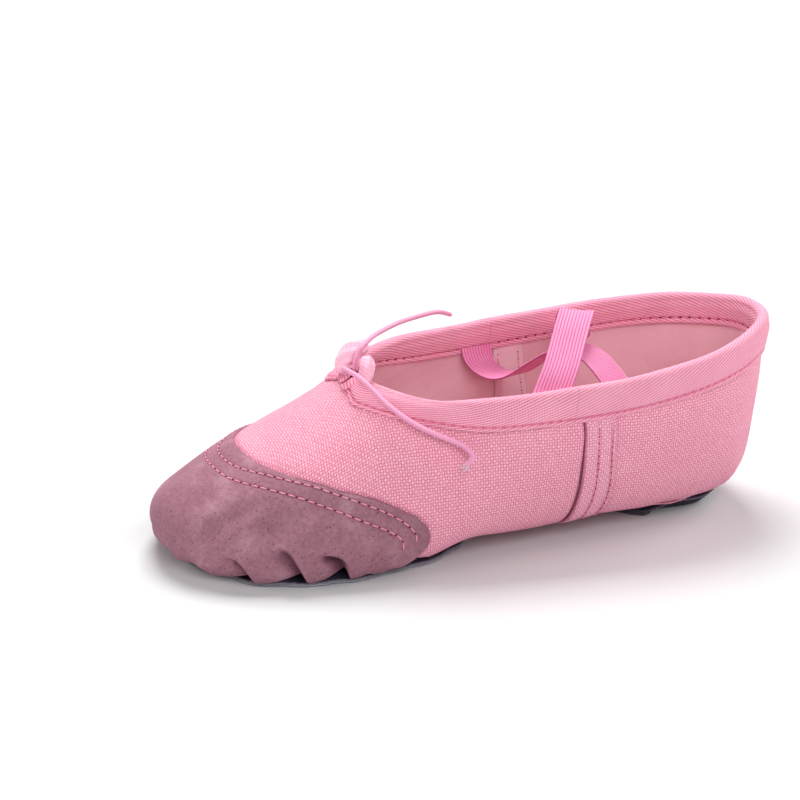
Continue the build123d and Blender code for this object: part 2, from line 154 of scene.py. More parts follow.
# ---------------------------------------------------------------- design surface
# six half outlines (x, y, z) on the left, heel centre to toe centre,
# from the turned-under edge up to the crest
HALF_LOOPS = np.array([
    [(0, 84, 5.5), (8, 82.5, 4.8), (14, 77.5, 3.8), (17.5, 69, 3.0), (19, 56, 2.4),
     (19.5, 41, 2.2), (20, 24, 2.2), (21.5, 7, 2.2), (24, -10, 2.0), (27, -27, 1.8),
     (28, -44, 1.8), (26.5, -59, 1.8), (21.5, -73, 1.8), (12.5, -84, 2.2), (0, -88.5, 2.4)],
    [(0, 91, 11.0), (9, 89.4, 9.8), (16.3, 83.9, 7.8), (20.8, 75, 6.0), (23.8, 61, 4.6),
     (25.2, 45, 4.0), (26, 27, 3.8), (27.6, 9, 3.6), (30.4, -9.5, 3.2), (33.2, -28, 2.6),
     (34.2, -46, 2.4), (32.6, -63, 2.4), (26.8, -79, 2.6), (15.5, -91, 3.4), (0, -95.2, 4.4)],
    [(0, 95.2, 22), (10, 93.6, 21), (18.8, 87, 19.2), (24.8, 77, 17.2), (28.5, 62, 15.6),
     (30.4, 45.5, 14.6), (31.3, 28, 14), (32.3, 9.5, 13.4), (34, -9, 12.8), (35.5, -28, 12.2),
     (35.6, -47, 11.8), (33.4, -65, 12), (27.4, -81, 12.6), (15.6, -93.8, 13.6),
     (0, -98.6, 14.4)],
    [(0, 97.2, 37.5), (9.8, 95.4, 37), (18.6, 88.6, 35.6), (25.8, 78.5, 33.8),
     (30.8, 64.5, 31.8), (33.2, 48.5, 30.2), (34, 32.5, 29.2), (34.3, 16, 29),
     (34.2, -0.5, 29.1), (33.6, -17, 29.3), (31.8, -34.5, 29.3), (28.2, -51.5, 28.7),
     (22.2, -66.5, 27.8), (12.5, -78.5, 27.1), (0, -83.5, 27.0)],
    [(0, 98.8, 49.8), (9.6, 96.7, 49.5), (18.2, 89.8, 48.3), (25.8, 79.6, 46.7),
     (31.6, 66, 44.7), (34.2, 51, 43), (35.1, 36, 41.9), (34.8, 20.8, 41.3), (33.9, 6, 41.3),
     (32.4, -8.5, 41.5), (28.8, -23, 42.0), (23.2, -35, 42.3), (16.4, -44.5, 42.5),
     (8.6, -50.4, 42.6), (0, -52.6, 42.8)],
    [(0, 99.6, 60.6), (9.2, 97.4, 60.3), (17, 90.3, 59.5), (24.4, 80.5, 58.3),
     (30.1, 67, 56.7), (33.1, 52, 54.9), (34.2, 37, 53.5), (33.8, 22.5, 52.5),
     (32.7, 9, 51.7), (31.6, -3.5, 51.1), (29.2, -14, 50.8), (24.2, -22.5, 50.6),
     (16.8, -29.4, 51.1), (8.5, -34, 51.7), (0, -35.6, 52)]])
LOOP_RISES = [0, .1, .28, .54, .80, 1.0]

# (turn, lift): how far the turned-under edge stands off the floor at the arch
ARCH_LIFT = np.array([
    (0, 0), (.13, 0), (.164, .2), (.209, 1.2), (.25, 1.6), (.289, 2.1), (.323, 2.35),
    (.353, 2.5), (.383, 2.65), (.41, 2.7), (.438, 2.2), (.466, 2.0), (.494, 2.05),
    (.523, 2.4), (.549, 3.1), (.577, 3.6), (.603, 2.5), (.63, 1.1), (.66, .25), (.70, 0),
    (.85, 0), (1.0, 0)])
# (rise, turn): the side seam between vamp and quarter
SIDE_SEAM = np.array([
    (0, .4525), (.18, .4495), (.26, .4462), (.34, .4475), (.5, .4625), (.62, .4755),
    (.8, .490), (1, .508)])


def closed_loop(half):
    full = np.vstack([half, (half * [-1, 1, 1])[-2:0:-1], half[:1]])
    return cubic(np.linspace(0, 2, len(full)), full, periodic=True)


loops = [closed_loop(half) for half in HALF_LOOPS]
loop_weights = cubic(LOOP_RISES, np.eye(6))
arch_lift = cubic(*ARCH_LIFT.T)
seam_turn = cubic(*SIDE_SEAM.T)


def surface(turn, rise):
    turn, rise = np.broadcast_arrays(np.asarray(turn, float) % 2, np.asarray(rise, float))
    rings = np.stack([loop(turn) for loop in loops], 0)
    points = np.einsum("...k,k...c->...c", loop_weights(rise), rings)
    points[..., 2] += arch_lift(half_turn(turn)) * (1 - smoothstep(.08, .48, rise))
    return points


def outward(turn, rise):
    e = 1e-3
    return unit(-np.cross(surface(turn + e, rise) - surface(turn - e, rise),
                          surface(turn, rise + e) - surface(turn, rise - e)))


# table of the rise at each depth below the crest
MAX_DEPTH = 24
table_turns = np.linspace(0, 2, 241)
table_depths = np.linspace(0, MAX_DEPTH, 97)
_rises = np.linspace(0.30, 1.0, 281)
_columns = surface(table_turns[:, None], _rises[None, :])[:, ::-1]
rise_table = np.array([np.interp(table_depths, running_length(column), _rises[::-1])
                       for column in _columns])


def rise_at(turn, depth):
    turn, depth = np.broadcast_arrays(np.asarray(turn, float) % 2, np.asarray(depth, float))
    last = len(table_depths) - 1
    return bilinear(rise_table, turn / 2 * (len(table_turns) - 1),
                    np.clip(depth / MAX_DEPTH * last, 0, last - .0001))


def crest_frame(turn, depth):
    """surface point, outward normal and upward direction at a depth below the crest"""
    rise = rise_at(turn, depth)
    up = unit(surface(turn, rise + 1e-3) - surface(turn, rise - 1e-3))
    return surface(turn, rise), outward(turn, rise), up


def arc_uv(points):
    """texture coordinates in mm from running lengths over a grid of points"""
    columns, rows = points.shape[:2]
    u = np.cumsum(np.linalg.norm(np.diff(points, axis=0), axis=2), 0)
    u = np.concatenate([np.zeros((1, rows)), u])
    u = u - u[columns // 2:columns // 2 + 1]
    v = np.cumsum(np.linalg.norm(np.diff(points, axis=1), axis=2), 1)
    v = np.concatenate([np.zeros((columns, 1)), v], 1)
    return np.stack([u, v], -1)


class ClothMap:
    """cloth coordinates in mm over the forefoot: length along it and girth round it,
    from a table of the radius by y and by angle about a lengthwise axis"""
    AXIS_Z = 14.0
    Y_CELLS, ANGLE_CELLS = 90, 140
    Y_START, Y_END = -104.0, 42.0
    MAX_ANGLE = 2.5
    THROAT_Y = -40.0
    SIDE_ANGLE = 1.30

    def __init__(self):
        turn = np.linspace(.40, 1.60, 900)[:, None]
        y, angle, radius = self.polar(surface(turn, np.linspace(.0, 1.0, 360)[None, :]))
        shape = self.Y_CELLS, self.ANGLE_CELLS
        cell_y, cell_angle = self.cells(y, angle)
        i = np.clip(cell_y.astype(int), 0, shape[0] - 1)
        j = np.clip(cell_angle.astype(int), 0, shape[1] - 1)
        total, hits = np.zeros(shape), np.zeros(shape)
        np.add.at(total, (i.ravel(), j.ravel()), radius.ravel())
        np.add.at(hits, (i.ravel(), j.ravel()), 1)
        radii = self.smooth(self.fill(total, hits))

        step_angle = 2 * self.MAX_ANGLE / shape[1]
        step_y = (self.Y_END - self.Y_START) / shape[0]
        slope_angle = np.gradient(radii, step_angle, axis=1)
        slope_y = np.gradient(radii, step_y, axis=0)
        girth = np.cumsum(np.sqrt(radii ** 2 + slope_angle ** 2) * step_angle, axis=1)
        middle = shape[1] // 2
        self.girth = girth - girth[:, middle:middle + 1]
        # behind the throat the top is open, so the girth there is carried back from the sides
        row_y = self.Y_START + (np.arange(shape[0]) + .5) * step_y
        throat = int(np.argmin(np.abs(row_y - self.THROAT_Y)))
        for sign, half in ((1, slice(middle, None)), (-1, slice(0, middle))):
            side = middle + sign * int(self.SIDE_ANGLE / step_angle)
            shift = self.girth[throat, side] - self.girth[:, side]
            self.girth[:, half] += np.where(row_y > row_y[throat], shift, 0.0)[:, None]
        length = np.cumsum(np.sqrt(1 + np.clip(slope_y, -1.6, 1.6) ** 2) * step_y, axis=0)
        self.length = length - length[shape[0] // 2:shape[0] // 2 + 1]

    def polar(self, points):
        x, z = points[..., 0], points[..., 2] - self.AXIS_Z
        return points[..., 1], np.arctan2(x, z), np.hypot(x, z)

    def cells(self, y, angle):
        return ((y - self.Y_START) / (self.Y_END - self.Y_START) * self.Y_CELLS,
                (angle + self.MAX_ANGLE) / (2 * self.MAX_ANGLE) * self.ANGLE_CELLS)

    @staticmethod
    def fill(total, hits):
        """mean radius per cell, spread into the empty cells"""
        radii = np.where(hits > 0, total / np.maximum(hits, 1), 0)
        known = (hits > 0).astype(float)

        def neighbours(table):
            return sum(np.roll(table, step, axis)
                       for step, axis in ((1, 1), (-1, 1), (1, 0), (-1, 0)))

        for _ in range(120):
            total, weight = neighbours(radii * known), neighbours(known)
            new = (known == 0) & (weight > 0)
            radii = np.where(new, total / np.maximum(weight, 1e-9), radii)
            known = np.where(new, 1.0, known)
            if known.all():
                break
        return radii

    @staticmethod
    def smooth(table):
        for _ in range(5):
            table = np.pad(table, 4, mode="edge")
            for axis in (0, 1):
                table = (np.roll(table, 1, axis) + table * 2 + np.roll(table, -1, axis)) / 4
            table = table[4:-4, 4:-4]
        return table

    def __call__(self, points):
        y, angle, _ = self.polar(points)
        a, b = self.cells(y, angle)
        a = np.clip(a - .5, 0, self.Y_CELLS - 1.001)
        b = np.clip(b - .5, 0, self.ANGLE_CELLS - 1.001)
        return np.stack([bilinear(self.length, a, b), bilinear(self.girth, a, b)], -1)


def plane_waves(seed, scale, count=14):
    """smooth repeatable noise: a sum of seeded plane waves in 3-D"""
    draw = np.random.default_rng(seed)
    waves = draw.normal(size=(count, 3)) / scale
    phases = draw.uniform(0, 2 * np.pi, count)

    def noise(points):
        total = sum(np.sin(points @ wave + phase) for wave, phase in zip(waves, phases))
        return total / math.sqrt(count / 2)

    return noise


# ---------------------------------------------------------------- mesh helpers
def make_obj(name, verts, faces, uv, attrs, mats, face_mats=None):
    """verts in mm; uv and attrs hold one entry per vertex"""
    mesh = bpy.data.meshes.new(name)
    mesh.from_pydata((np.asarray(verts, float) * MM).tolist(), [], faces)
    if uv is not None:
        layer = mesh.uv_layers.new(name="cloth")
        corners = np.empty(len(mesh.loops), np.int32)
        mesh.loops.foreach_get("vertex_index", corners)
        layer.data.foreach_set("uv", np.asarray(uv, np.float32)[corners].ravel())
    for key, values in (attrs or {}).items():
        attribute = mesh.attributes.new(key, "FLOAT", "POINT")
        attribute.data.foreach_set("value", np.asarray(values, np.float32).ravel())
    for mat in mats:
        mesh.materials.append(mat)
    if face_mats is not None:
        mesh.polygons.foreach_set("material_index", np.asarray(face_mats, np.int32))
    mesh.polygons.foreach_set("use_smooth", np.full(len(mesh.polygons), True))
    mesh.update()
    obj = bpy.data.objects.new(name, mesh)
    bpy.context.scene.collection.objects.link(obj)
    return obj


def shell_faces(columns, rows, wrap):
    """faces of a closed sheet, and each face's side: 0 outer, 1 inner, 2 rim"""
    count = columns * rows
    i = np.arange(columns if wrap else columns - 1)
    j = np.arange(rows - 1)
    a, b = np.meshgrid(i, j, indexing="ij")
    c = (a + 1) % columns
    quads = np.stack([a * rows + b, c * rows + b, c * rows + b + 1, a * rows + b + 1], -1)
    quads = quads.reshape(-1, 4)

    def rim(start, end):
        return np.stack([start, end, end + count, start + count], -1)

    after = (i + 1) % columns
    last = rows - 1
    rims = [rim(i * rows, after * rows), rim(i * rows + last, after * rows + last)[:, ::-1]]
    if not wrap:
        end = (columns - 1) * rows
        rims += [rim(j, j + 1)[:, ::-1], rim(end + j, end + j + 1)]
    rims = np.concatenate(rims)
    faces = np.concatenate([quads, (quads + count)[:, ::-1], rims])
    return faces, np.repeat([0, 1, 2], [len(quads), len(quads), len(rims)])


def shell(name, outer, inner, facing, mats, uv=None, attrs=None, side_mats=(0, 0, 0),
          wrap=False):
    """closed sheet between two point grids; its outer skin looks towards `facing`"""
    verts = np.concatenate([outer.reshape(-1, 3), inner.reshape(-1, 3)])
    faces, side = shell_faces(*outer.shape[:2], wrap)
    first, second, third = verts[faces[0][:3]]
    if np.dot(np.cross(second - first, third - second), facing) < 0:
        faces = faces[:, ::-1]
    if uv is None:
        uv = arc_uv(outer)
    attrs = {key: np.tile(np.ravel(values), 2) for key, values in (attrs or {}).items()}
    return make_obj(name, verts, faces.tolist(), np.tile(uv.reshape(-1, 2), (2, 1)), attrs,
                    mats, np.array(side_mats)[side])


def tube_faces(rings, sides):
    """skin over rings of points, closed by fans to two last points, start then end"""
    faces = []
    for i in range(rings - 1):
        for j in range(sides):
            k = (j + 1) % sides
            faces.append([i * sides + j, i * sides + k,
                          (i + 1) * sides + k, (i + 1) * sides + j])
    start, last = rings * sides, (rings - 1) * sides
    for j in range(sides):
        k = (j + 1) % sides
        faces.append([start, k, j])
        faces.append([start + 1, last + j, last + k])
    return faces


def tube(name, points, radius, mats, sides, count=None):
    """round cord with domed ends along a spline through points"""
    spline, length = spline_through(points)
    count = count or max(12, int(length / 0.45))
    line = spline(np.linspace(0, length, count))
    ahead = unit(np.gradient(line, axis=0))
    across = np.cross(ahead[0], [0, 0, 1.0])
    if np.linalg.norm(across) < .1:
        across = np.cross(ahead[0], [0, 1.0, 0])
    turned = []
    for direction in ahead:
        across = unit(across - direction * np.dot(across, direction))
        turned.append(across)
    first = np.array(turned)
    second = np.cross(ahead, first)
    theta = np.linspace(0, 2 * np.pi, sides, endpoint=False)
    rings = line[:, None] + radius * (first[:, None] * np.cos(theta)[None, :, None]
                                      + second[:, None] * np.sin(theta)[None, :, None])
    domes = [[], []]
    for angle in (30, 60, 80):
        out, shrink = math.sin(math.radians(angle)), math.cos(math.radians(angle))
        for dome, end, sign in ((domes[0], 0, -1), (domes[1], -1, 1)):
            dome.append(line[end] + (rings[end] - line[end]) * shrink
                        + sign * ahead[end] * radius * out)
    rings = np.concatenate([domes[0][::-1], rings, domes[1]])
    along = running_length(line)
    along = np.concatenate([[-.3, -.2, -.1], along, along[-1] + np.array([.1, .2, .3])])
    verts = np.concatenate([rings.reshape(-1, 3), [line[0] - ahead[0] * radius],
                            [line[-1] + ahead[-1] * radius]])
    u, v = np.meshgrid(along, theta, indexing="ij")
    uv = np.concatenate([np.stack([u, v], -1).reshape(-1, 2), [[along[0], 0], [along[-1], 0]]])
    return make_obj(name, verts, tube_faces(len(rings), sides), uv, None, mats)


def join(name, objs):
    bpy.ops.object.select_all(action="DESELECT")
    for obj in objs:
        obj.select_set(True)
    bpy.context.view_layer.objects.active = objs[0]
    bpy.ops.object.join()
    objs[0].name = name
    objs[0].data.name = name
    return objs[0]


def flexing(obj, slot, *nodes):
    """a piece that crosses the arch flex line"""
    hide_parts(*nodes)
    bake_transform(obj)


def riding(obj, body, slot, *nodes):
    """a piece that moves with one body"""
    if nodes:
        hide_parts(*nodes)
    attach(obj, body)


# ---------------------------------------------------------------- material helpers
def srgb(*channels):
    """linear colour from 0-255 channels"""
    def linear(c):
        c = c / 255
        return c / 12.92 if c <= .04045 else ((c + .055) / 1.055) ** 2.4
    return tuple(linear(c) for c in channels) + (1.0,)


class Signal:
    """a shader output; each arithmetic step on it adds one Math node"""

    def __init__(self, material, socket):
        self.material = material
        self.socket = socket

    def __add__(self, other):
        return self.material.math("ADD", self, other)

    def __sub__(self, other):
        return self.material.math("SUBTRACT", self, other)

    def __rsub__(self, other):
        return self.material.math("SUBTRACT", other, self)

    def __mul__(self, other):
        return self.material.math("MULTIPLY", self, other)

    def __truediv__(self, other):
        return self.material.math("DIVIDE", self, other)

    def __pow__(self, other):
        return self.material.math("POWER", self, other)

    def __abs__(self):
        return self.material.math("ABSOLUTE", self)

    def clamped(self):
        self.socket.node.use_clamp = True
        return self


class Material:
    def __init__(self, name, rough, spec, sheen=0.0, sheen_rough=.5, sheen_tint=(1, 1, 1, 1)):
        self.data = bpy.data.materials.new(name)
        self.data.use_nodes = True
        self.tree = self.data.node_tree
        self.shader = self.tree.nodes["Principled BSDF"].inputs
        self.shader["Roughness"].default_value = rough
        self.shader["Specular IOR Level"].default_value = spec
        self.shader["Sheen Weight"].default_value = sheen
        self.shader["Sheen Roughness"].default_value = sheen_rough
        self.shader["Sheen Tint"].default_value = sheen_tint

    def node(self, kind, **settings):
        node = self.tree.nodes.new(kind)
        for key, value in settings.items():
            setattr(node, key, value)
        return node

    def feed(self, socket, source):
        """link a signal to a socket, or set its value"""
        if isinstance(source, Signal):
            self.tree.links.new(source.socket, socket)
        else:
            socket.default_value = source

    def run(self, node, sources, output=0):
        """feed a node's inputs by index or name and return one output"""
        for key, source in sources.items():
            self.feed(node.inputs[key], source)
        return Signal(self, node.outputs[output])

    def math(self, operation, *sources):
        node = self.node("ShaderNodeMath", operation=operation)
        return self.run(node, dict(enumerate(sources)))

    def sine(self, x):
        return self.math("SINE", x)

    def uv(self):
        """u, v and the whole vector of the cloth coordinates, mm"""
        vector = Signal(self, self.node("ShaderNodeUVMap", uv_map="cloth").outputs[0])
        split = self.node("ShaderNodeSeparateXYZ")
        self.feed(split.inputs[0], vector)
        return Signal(self, split.outputs[0]), Signal(self, split.outputs[1]), vector

    def place(self):
        return Signal(self, self.node("ShaderNodeTexCoord").outputs["Object"])

    def vector(self, x, y):
        return self.run(self.node("ShaderNodeCombineXYZ"), {0: x, 1: y})

    def noise(self, vector, scale, detail=2.0, rough=.5):
        sources = {"Vector": vector, "Scale": scale, "Detail": detail, "Roughness": rough}
        return self.run(self.node("ShaderNodeTexNoise"), sources, "Fac")

    def attribute(self, name):
        return self.run(self.node("ShaderNodeAttribute", attribute_name=name), {}, "Fac")

    def mix(self, factor, first, second):
        node = self.node("ShaderNodeMix", data_type="RGBA")
        return self.run(node, {0: factor, 6: first, 7: second}, 2)

    def ramp(self, x, start, end, low=0.0, high=1.0):
        node = self.node("ShaderNodeMapRange", interpolation_type="SMOOTHSTEP")
        return self.run(node, {0: x, 1: start, 2: end, 3: low, 4: high})

    def color(self, color):
        self.feed(self.shader["Base Color"], color)

    def bump(self, height, distance, strength=1.0, under=None):
        """bumps of a height in mm, on top of the normals `under`"""
        sources = {"Strength": strength, "Distance": distance * MM, "Height": height}
        if under is not None:
            sources["Normal"] = under
        return self.run(self.node("ShaderNodeBump"), sources)

    def normal(self, normal):
        self.feed(self.shader["Normal"], normal)


# ---------------------------------------------------------------- materials
PINK_SHEEN = srgb(255, 225, 232)


def canvas_material(name, thread, gap, marked=True):
    """plain weave; marked canvas also reads the pale and shade attributes"""
    pitch = .80           # between threads
    weft_stretch = 1.14   # weft pitch over warp pitch
    mat = Material(name, rough=.9, spec=.15, sheen=.12, sheen_rough=.55,
                   sheen_tint=PINK_SHEEN)
    u, v, uv = mat.uv()
    # threads wander a little
    drift_u = mat.noise(uv, scale=.35)
    drift_v = mat.noise(mat.vector(u + 31.7, v), scale=.35)
    u = u + (drift_u - .5) * .8
    v = v + (drift_v - .5) * .8
    warp = mat.sine(u * (math.pi / pitch))
    weft = mat.sine(v * (math.pi / (pitch * weft_stretch)))
    warp_size, weft_size = abs(warp), abs(weft)
    is_over = mat.ramp(warp * weft, -.05, .05)
    over = warp_size ** .9 * weft_size ** .45
    under = warp_size ** .45 * weft_size ** .9
    height = over * is_over + under * .62 * (1.0 - is_over)
    # thread-to-thread tone, broad patches and fibres
    cell = mat.vector(mat.math("FLOOR", u / pitch),
                      mat.math("FLOOR", v / (pitch * weft_stretch)))
    random = mat.run(mat.node("ShaderNodeTexWhiteNoise", noise_dimensions="2D"),
                     {"Vector": cell}, "Value")
    tone = (random - .5) * .20
    patches = (mat.noise(uv, scale=.055, detail=3) - .5) * .22
    fibre = (mat.noise(uv, scale=5.0, detail=3, rough=.7) - .5) * .14
    light = (mat.ramp(height, .10, .85) + tone + (patches + fibre)).clamped()
    color = mat.mix(light, gap, thread)
    if marked:
        pale = mat.mix(light, srgb(224, 140, 168), srgb(250, 206, 220))
        color = mat.mix(mat.attribute("pale"), color, pale)
        color = mat.mix(mat.attribute("shade"), color, srgb(158, 36, 84))
    mat.color(color)
    mat.normal(mat.bump(height + fibre * 1.2, distance=.15))
    return mat.data


def suede_material(name, base, dark, light, edge, sheen, pores):
    mat = Material(name, rough=.95, spec=.12, sheen=sheen, sheen_rough=.45, sheen_tint=light)
    place = mat.place()
    patches = mat.noise(place, scale=90, detail=3, rough=.6)
    nap = mat.noise(place, scale=900, detail=3, rough=.65)
    grain = mat.noise(place, scale=3200, detail=2, rough=.6)
    tone = (patches - .5) * .8 + (nap - .5) * 1.5 + (grain - .5) * 1.3
    color = mat.mix((tone + .5).clamped(), dark, base)
    color = mat.mix(mat.ramp(patches, .50, .80, 0, .35), color, light)
    if pores:
        cells = mat.node("ShaderNodeTexVoronoi", feature="F1")
        cells.inputs["Scale"].default_value = 900
        mat.feed(cells.inputs["Vector"], place)
        chosen = mat.run(mat.node("ShaderNodeSeparateColor"),
                         {0: Signal(mat, cells.outputs["Color"])})
        distance = Signal(mat, cells.outputs["Distance"])
        dot = mat.ramp(distance, .30, .10) * mat.ramp(chosen, .45, 1.0)
        color = mat.mix(dot * .80, color, srgb(70, 38, 56))
    # the shade attribute mixes in the edge colour: painted shade in the toe cap's fold hollows
    # and stitch grooves, the pale colour of the frayed rim on the sole
    mat.color(mat.mix(mat.attribute("shade"), color, edge))
    mat.normal(mat.bump(nap * .6 + grain * .5, distance=.12, strength=.9))
    return mat.data


def binding_material(name, dark, light, thread_contrast):
    mat = Material(name, rough=.88, spec=.15, sheen=.12, sheen_tint=PINK_SHEEN)
    u, v, uv = mat.uv()
    ridge = mat.attribute("ridge")
    # fine threads that cross the ridges
    phase = u * (2.0 * math.pi / .80) + v * (-2.0 * math.pi / 2.4)
    fine = (mat.sine(phase) + 1.0) * (.5 * thread_contrast)
    fuzz = mat.noise(uv, scale=3.0, detail=3, rough=.7)
    patches = (mat.noise(uv, scale=.08) - .5) * .25
    tone = (ridge * .80 + fine * .16 + patches + (fuzz - .5) * .25).clamped()
    mat.color(mat.mix(mat.attribute("shade"), mat.mix(tone, dark, light),
                      srgb(196, 60, 104)))
    mat.normal(mat.bump(fine * ridge + fuzz * .4, distance=.10))
    return mat.data


def lining_material(name, base, dark, rough, sheen):
    pitch = .42
    mat = Material(name, rough=rough, spec=.5, sheen=sheen, sheen_tint=srgb(255, 228, 232))
    u, v, uv = mat.uv()
    weave = abs(mat.sine(u * (math.pi / pitch))) * abs(mat.sine(v * (math.pi / pitch)))
    patches = mat.noise(uv, scale=.06, detail=3)
    mat.color(mat.mix((weave * .35 + patches * .75).clamped(), dark, base))
    fine = mat.bump(weave, distance=.05, strength=.7)
    broad = mat.noise(uv, scale=.25, detail=3)
    mat.normal(mat.bump(broad, distance=.5, strength=.5, under=fine))
    return mat.data


def elastic_material():
    mat = Material("ribbed_elastic", rough=.5, spec=.35, sheen=.12,
                   sheen_tint=srgb(255, 215, 235))
    _, v, uv = mat.uv()
    ridge = mat.attribute("ridge")
    fine = (mat.sine(v * (2 * math.pi / .55)) + 1.0) * .5
    fuzz = mat.noise(uv, scale=2.5, detail=2, rough=.6)
    tone = (ridge * .85 + (fuzz - .5) * .3 + (fine - .5) * .14).clamped()
    mat.color(mat.mix(tone, srgb(196, 62, 130), srgb(244, 156, 196)))
    mat.normal(mat.bump(fine + fuzz, distance=.06, strength=.7))
    return mat.data


def cord_material(name, base, dark, pitch):
    """two sets of strands that spiral opposite ways"""
    mat = Material(name, rough=.42, spec=.45, sheen=.1, sheen_tint=srgb(255, 225, 240))
    along, around, _ = mat.uv()
    wave = 2 * math.pi / pitch
    height = mat.math("MAXIMUM", mat.sine(along * wave + around * 2.0),
                      mat.sine(along * wave - around * 2.0))
    mat.color(mat.mix((height * .3 + .65).clamped(), dark, base))
    mat.normal(mat.bump(height, distance=.05, strength=.7))
    return mat.data


def speckled_material(name, dark, light, rough=1.0, spec=.0, scale=1500, detail=1):
    mat = Material(name, rough=rough, spec=spec)
    mat.color(mat.mix(mat.noise(mat.place(), scale, detail), dark, light))
    return mat.data


CANVAS = canvas_material("canvas_vamp", srgb(252, 190, 206), srgb(218, 124, 152))
CANVAS_BACK = canvas_material("canvas_reverse", srgb(236, 170, 186), srgb(196, 120, 142),
                              marked=False)
# its edge colour is the painted shade of the cap's fold hollows and stitch grooves
TOE_SUEDE = suede_material(
    "toe_suede", base=srgb(170, 120, 134), dark=srgb(134, 90, 104),
    light=srgb(206, 166, 176), edge=srgb(92, 50, 66), sheen=.3, pores=True)
SOLE_SUEDE = suede_material(
    "sole_suede", base=srgb(62, 56, 76), dark=srgb(34, 30, 44),
    light=srgb(120, 114, 132), edge=srgb(176, 172, 186), sheen=.15, pores=False)
BINDING = binding_material("binding_twill", srgb(206, 92, 130), srgb(253, 192, 210),
                           thread_contrast=1.0)
# a paler copy of the binding twill for the ends standing up at the throat: painted highlight
BINDING_END_HIGHLIGHT = binding_material("binding_end_painted_highlight", srgb(228, 140, 172),
                               srgb(254, 206, 224), thread_contrast=.5)
LINING = lining_material("lining_sateen", srgb(240, 192, 202), srgb(216, 156, 168),
                         rough=.38, sheen=.25)
TAPE = lining_material("seam_tape", srgb(250, 214, 222), srgb(226, 180, 192),
                       rough=.7, sheen=.1)
INSOLE = lining_material("insole_sock", srgb(226, 154, 166), srgb(200, 122, 138),
                         rough=.85, sheen=.2)
ELASTIC = elastic_material()
CORD = cord_material("drawstring_elastic", srgb(240, 164, 196), srgb(212, 118, 164), pitch=.9)
THREAD = cord_material("pink_thread", srgb(250, 160, 184), srgb(214, 96, 136), pitch=.5)
BINDING_THREAD = cord_material("binding_thread", srgb(236, 128, 160), srgb(196, 78, 118),
                               pitch=.5)
# dark buttons in the needle holes: painted shade inside each hole
HOLE_SHADE = speckled_material("needle_hole_shade", srgb(92, 26, 50), srgb(120, 38, 66))
PINK_HOLE_SHADE = speckled_material("needle_hole_shade_pink", srgb(150, 34, 76), srgb(186, 62, 104))
FRAY = speckled_material("frayed_tip", srgb(206, 170, 186), srgb(250, 236, 242),
                         rough=.8, spec=.2, scale=2500, detail=2)

# ---------------------------------------------------------------- canvas upper
# offsets of each layer from the design surface
CANVAS_OUT, CANVAS_IN = -0.50, -1.15
LINING_OUT, LINING_IN = -1.22, -1.92
SEAM_ROWS = (3.9, 7.5)    # the topstitched rows, mm behind the side seam
CANVAS_TOP_DEPTH = 3.2    # the canvas ends here, inside the binding
CANVAS_FOOT = -.02        # rise of its lower edge
BINDING_RISE = .80        # where the canvas is drawn in below the binding

# (turn, rise) on the left half, from the rear corner to the toe centre
CAP_EDGE = np.array([
    (.632, .262), (.639, .309), (.660, .367), (.692, .418), (.722, .459), (.751, .489),
    (.779, .513), (.810, .544), (.840, .565), (.873, .585), (.912, .605), (.965, .624),
    (1.0, .628)])

soft_noise = plane_waves(seed=3, scale=16.0)
fine_noise = plane_waves(seed=5, scale=7.0, count=20)


def both_halves(row):
    """turns and rises of a left row continued over the right half"""
    return (np.concatenate([row[:, 0], 2 - row[-2::-1, 0]]),
            np.concatenate([row[:, 1], row[-2::-1, 1]]))


cap_edge_turns, cap_edge_rises = both_halves(CAP_EDGE)


def cap_edge(turn):
    """rise of the toe cap's upper edge, 0 where there is no cap"""
    return np.interp(turn, cap_edge_turns, cap_edge_rises, left=0, right=0)


def tuck(turn, rise):
    """how far the layers under the toe cap are drawn in to make room for its gathers"""
    turn = turn % 2
    shallow = smoothstep(-.03, -.10, rise - cap_edge(turn))
    deep = 2.4 * smoothstep(.40, .27, rise) * smoothstep(.0, .08, rise)
    return (shallow + deep) * smoothstep(.628, .68, half_turn(turn))


def wrinkle(points, rise):
    """slack canvas: broad soft hollows, quiet near the binding"""
    slack = .38 * soft_noise(points) + .16 * fine_noise(points)
    return slack * smoothstep(1.0, .7, rise) * smoothstep(CANVAS_FOOT, .2, rise)


def gather(turn, rise, seed, start=.02, end=.30, count=11, depth=.55):
    """radial tucks where the upper turns under at the heel"""
    draw = np.random.default_rng(seed)
    total = np.zeros(turn.shape)
    pitch = (end - start) / count
    for centre in np.linspace(start, end, count) + draw.uniform(-.3, .3, count) * pitch:
        width = draw.uniform(.25, .42) * pitch
        size = depth * draw.uniform(.5, 1.1)
        across = turn - centre - draw.uniform(-.05, .05) * rise
        total -= size * bell(across, width) * smoothstep(draw.uniform(.16, .30), .03, rise)
    return total


def wall_grid(start, end, low, columns, rows):
    """turns and rises from the low rise to the binding, between two edges
    given as functions of rise"""
    across = np.linspace(0, 1, columns)[:, None]
    height = np.linspace(0, 1, rows)[None, :]
    rise = np.broadcast_to(height, (columns, rows))
    for _ in range(3):
        turn = start(rise) + (end(rise) - start(rise)) * across
        top = rise_at(turn[:, -1], CANVAS_TOP_DEPTH)[:, None]
        rise = low + (top - low) * height
    return turn, rise


vamp_columns, canvas_rows = ((330, 120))
quarter_columns = 150
lining_rows = 120


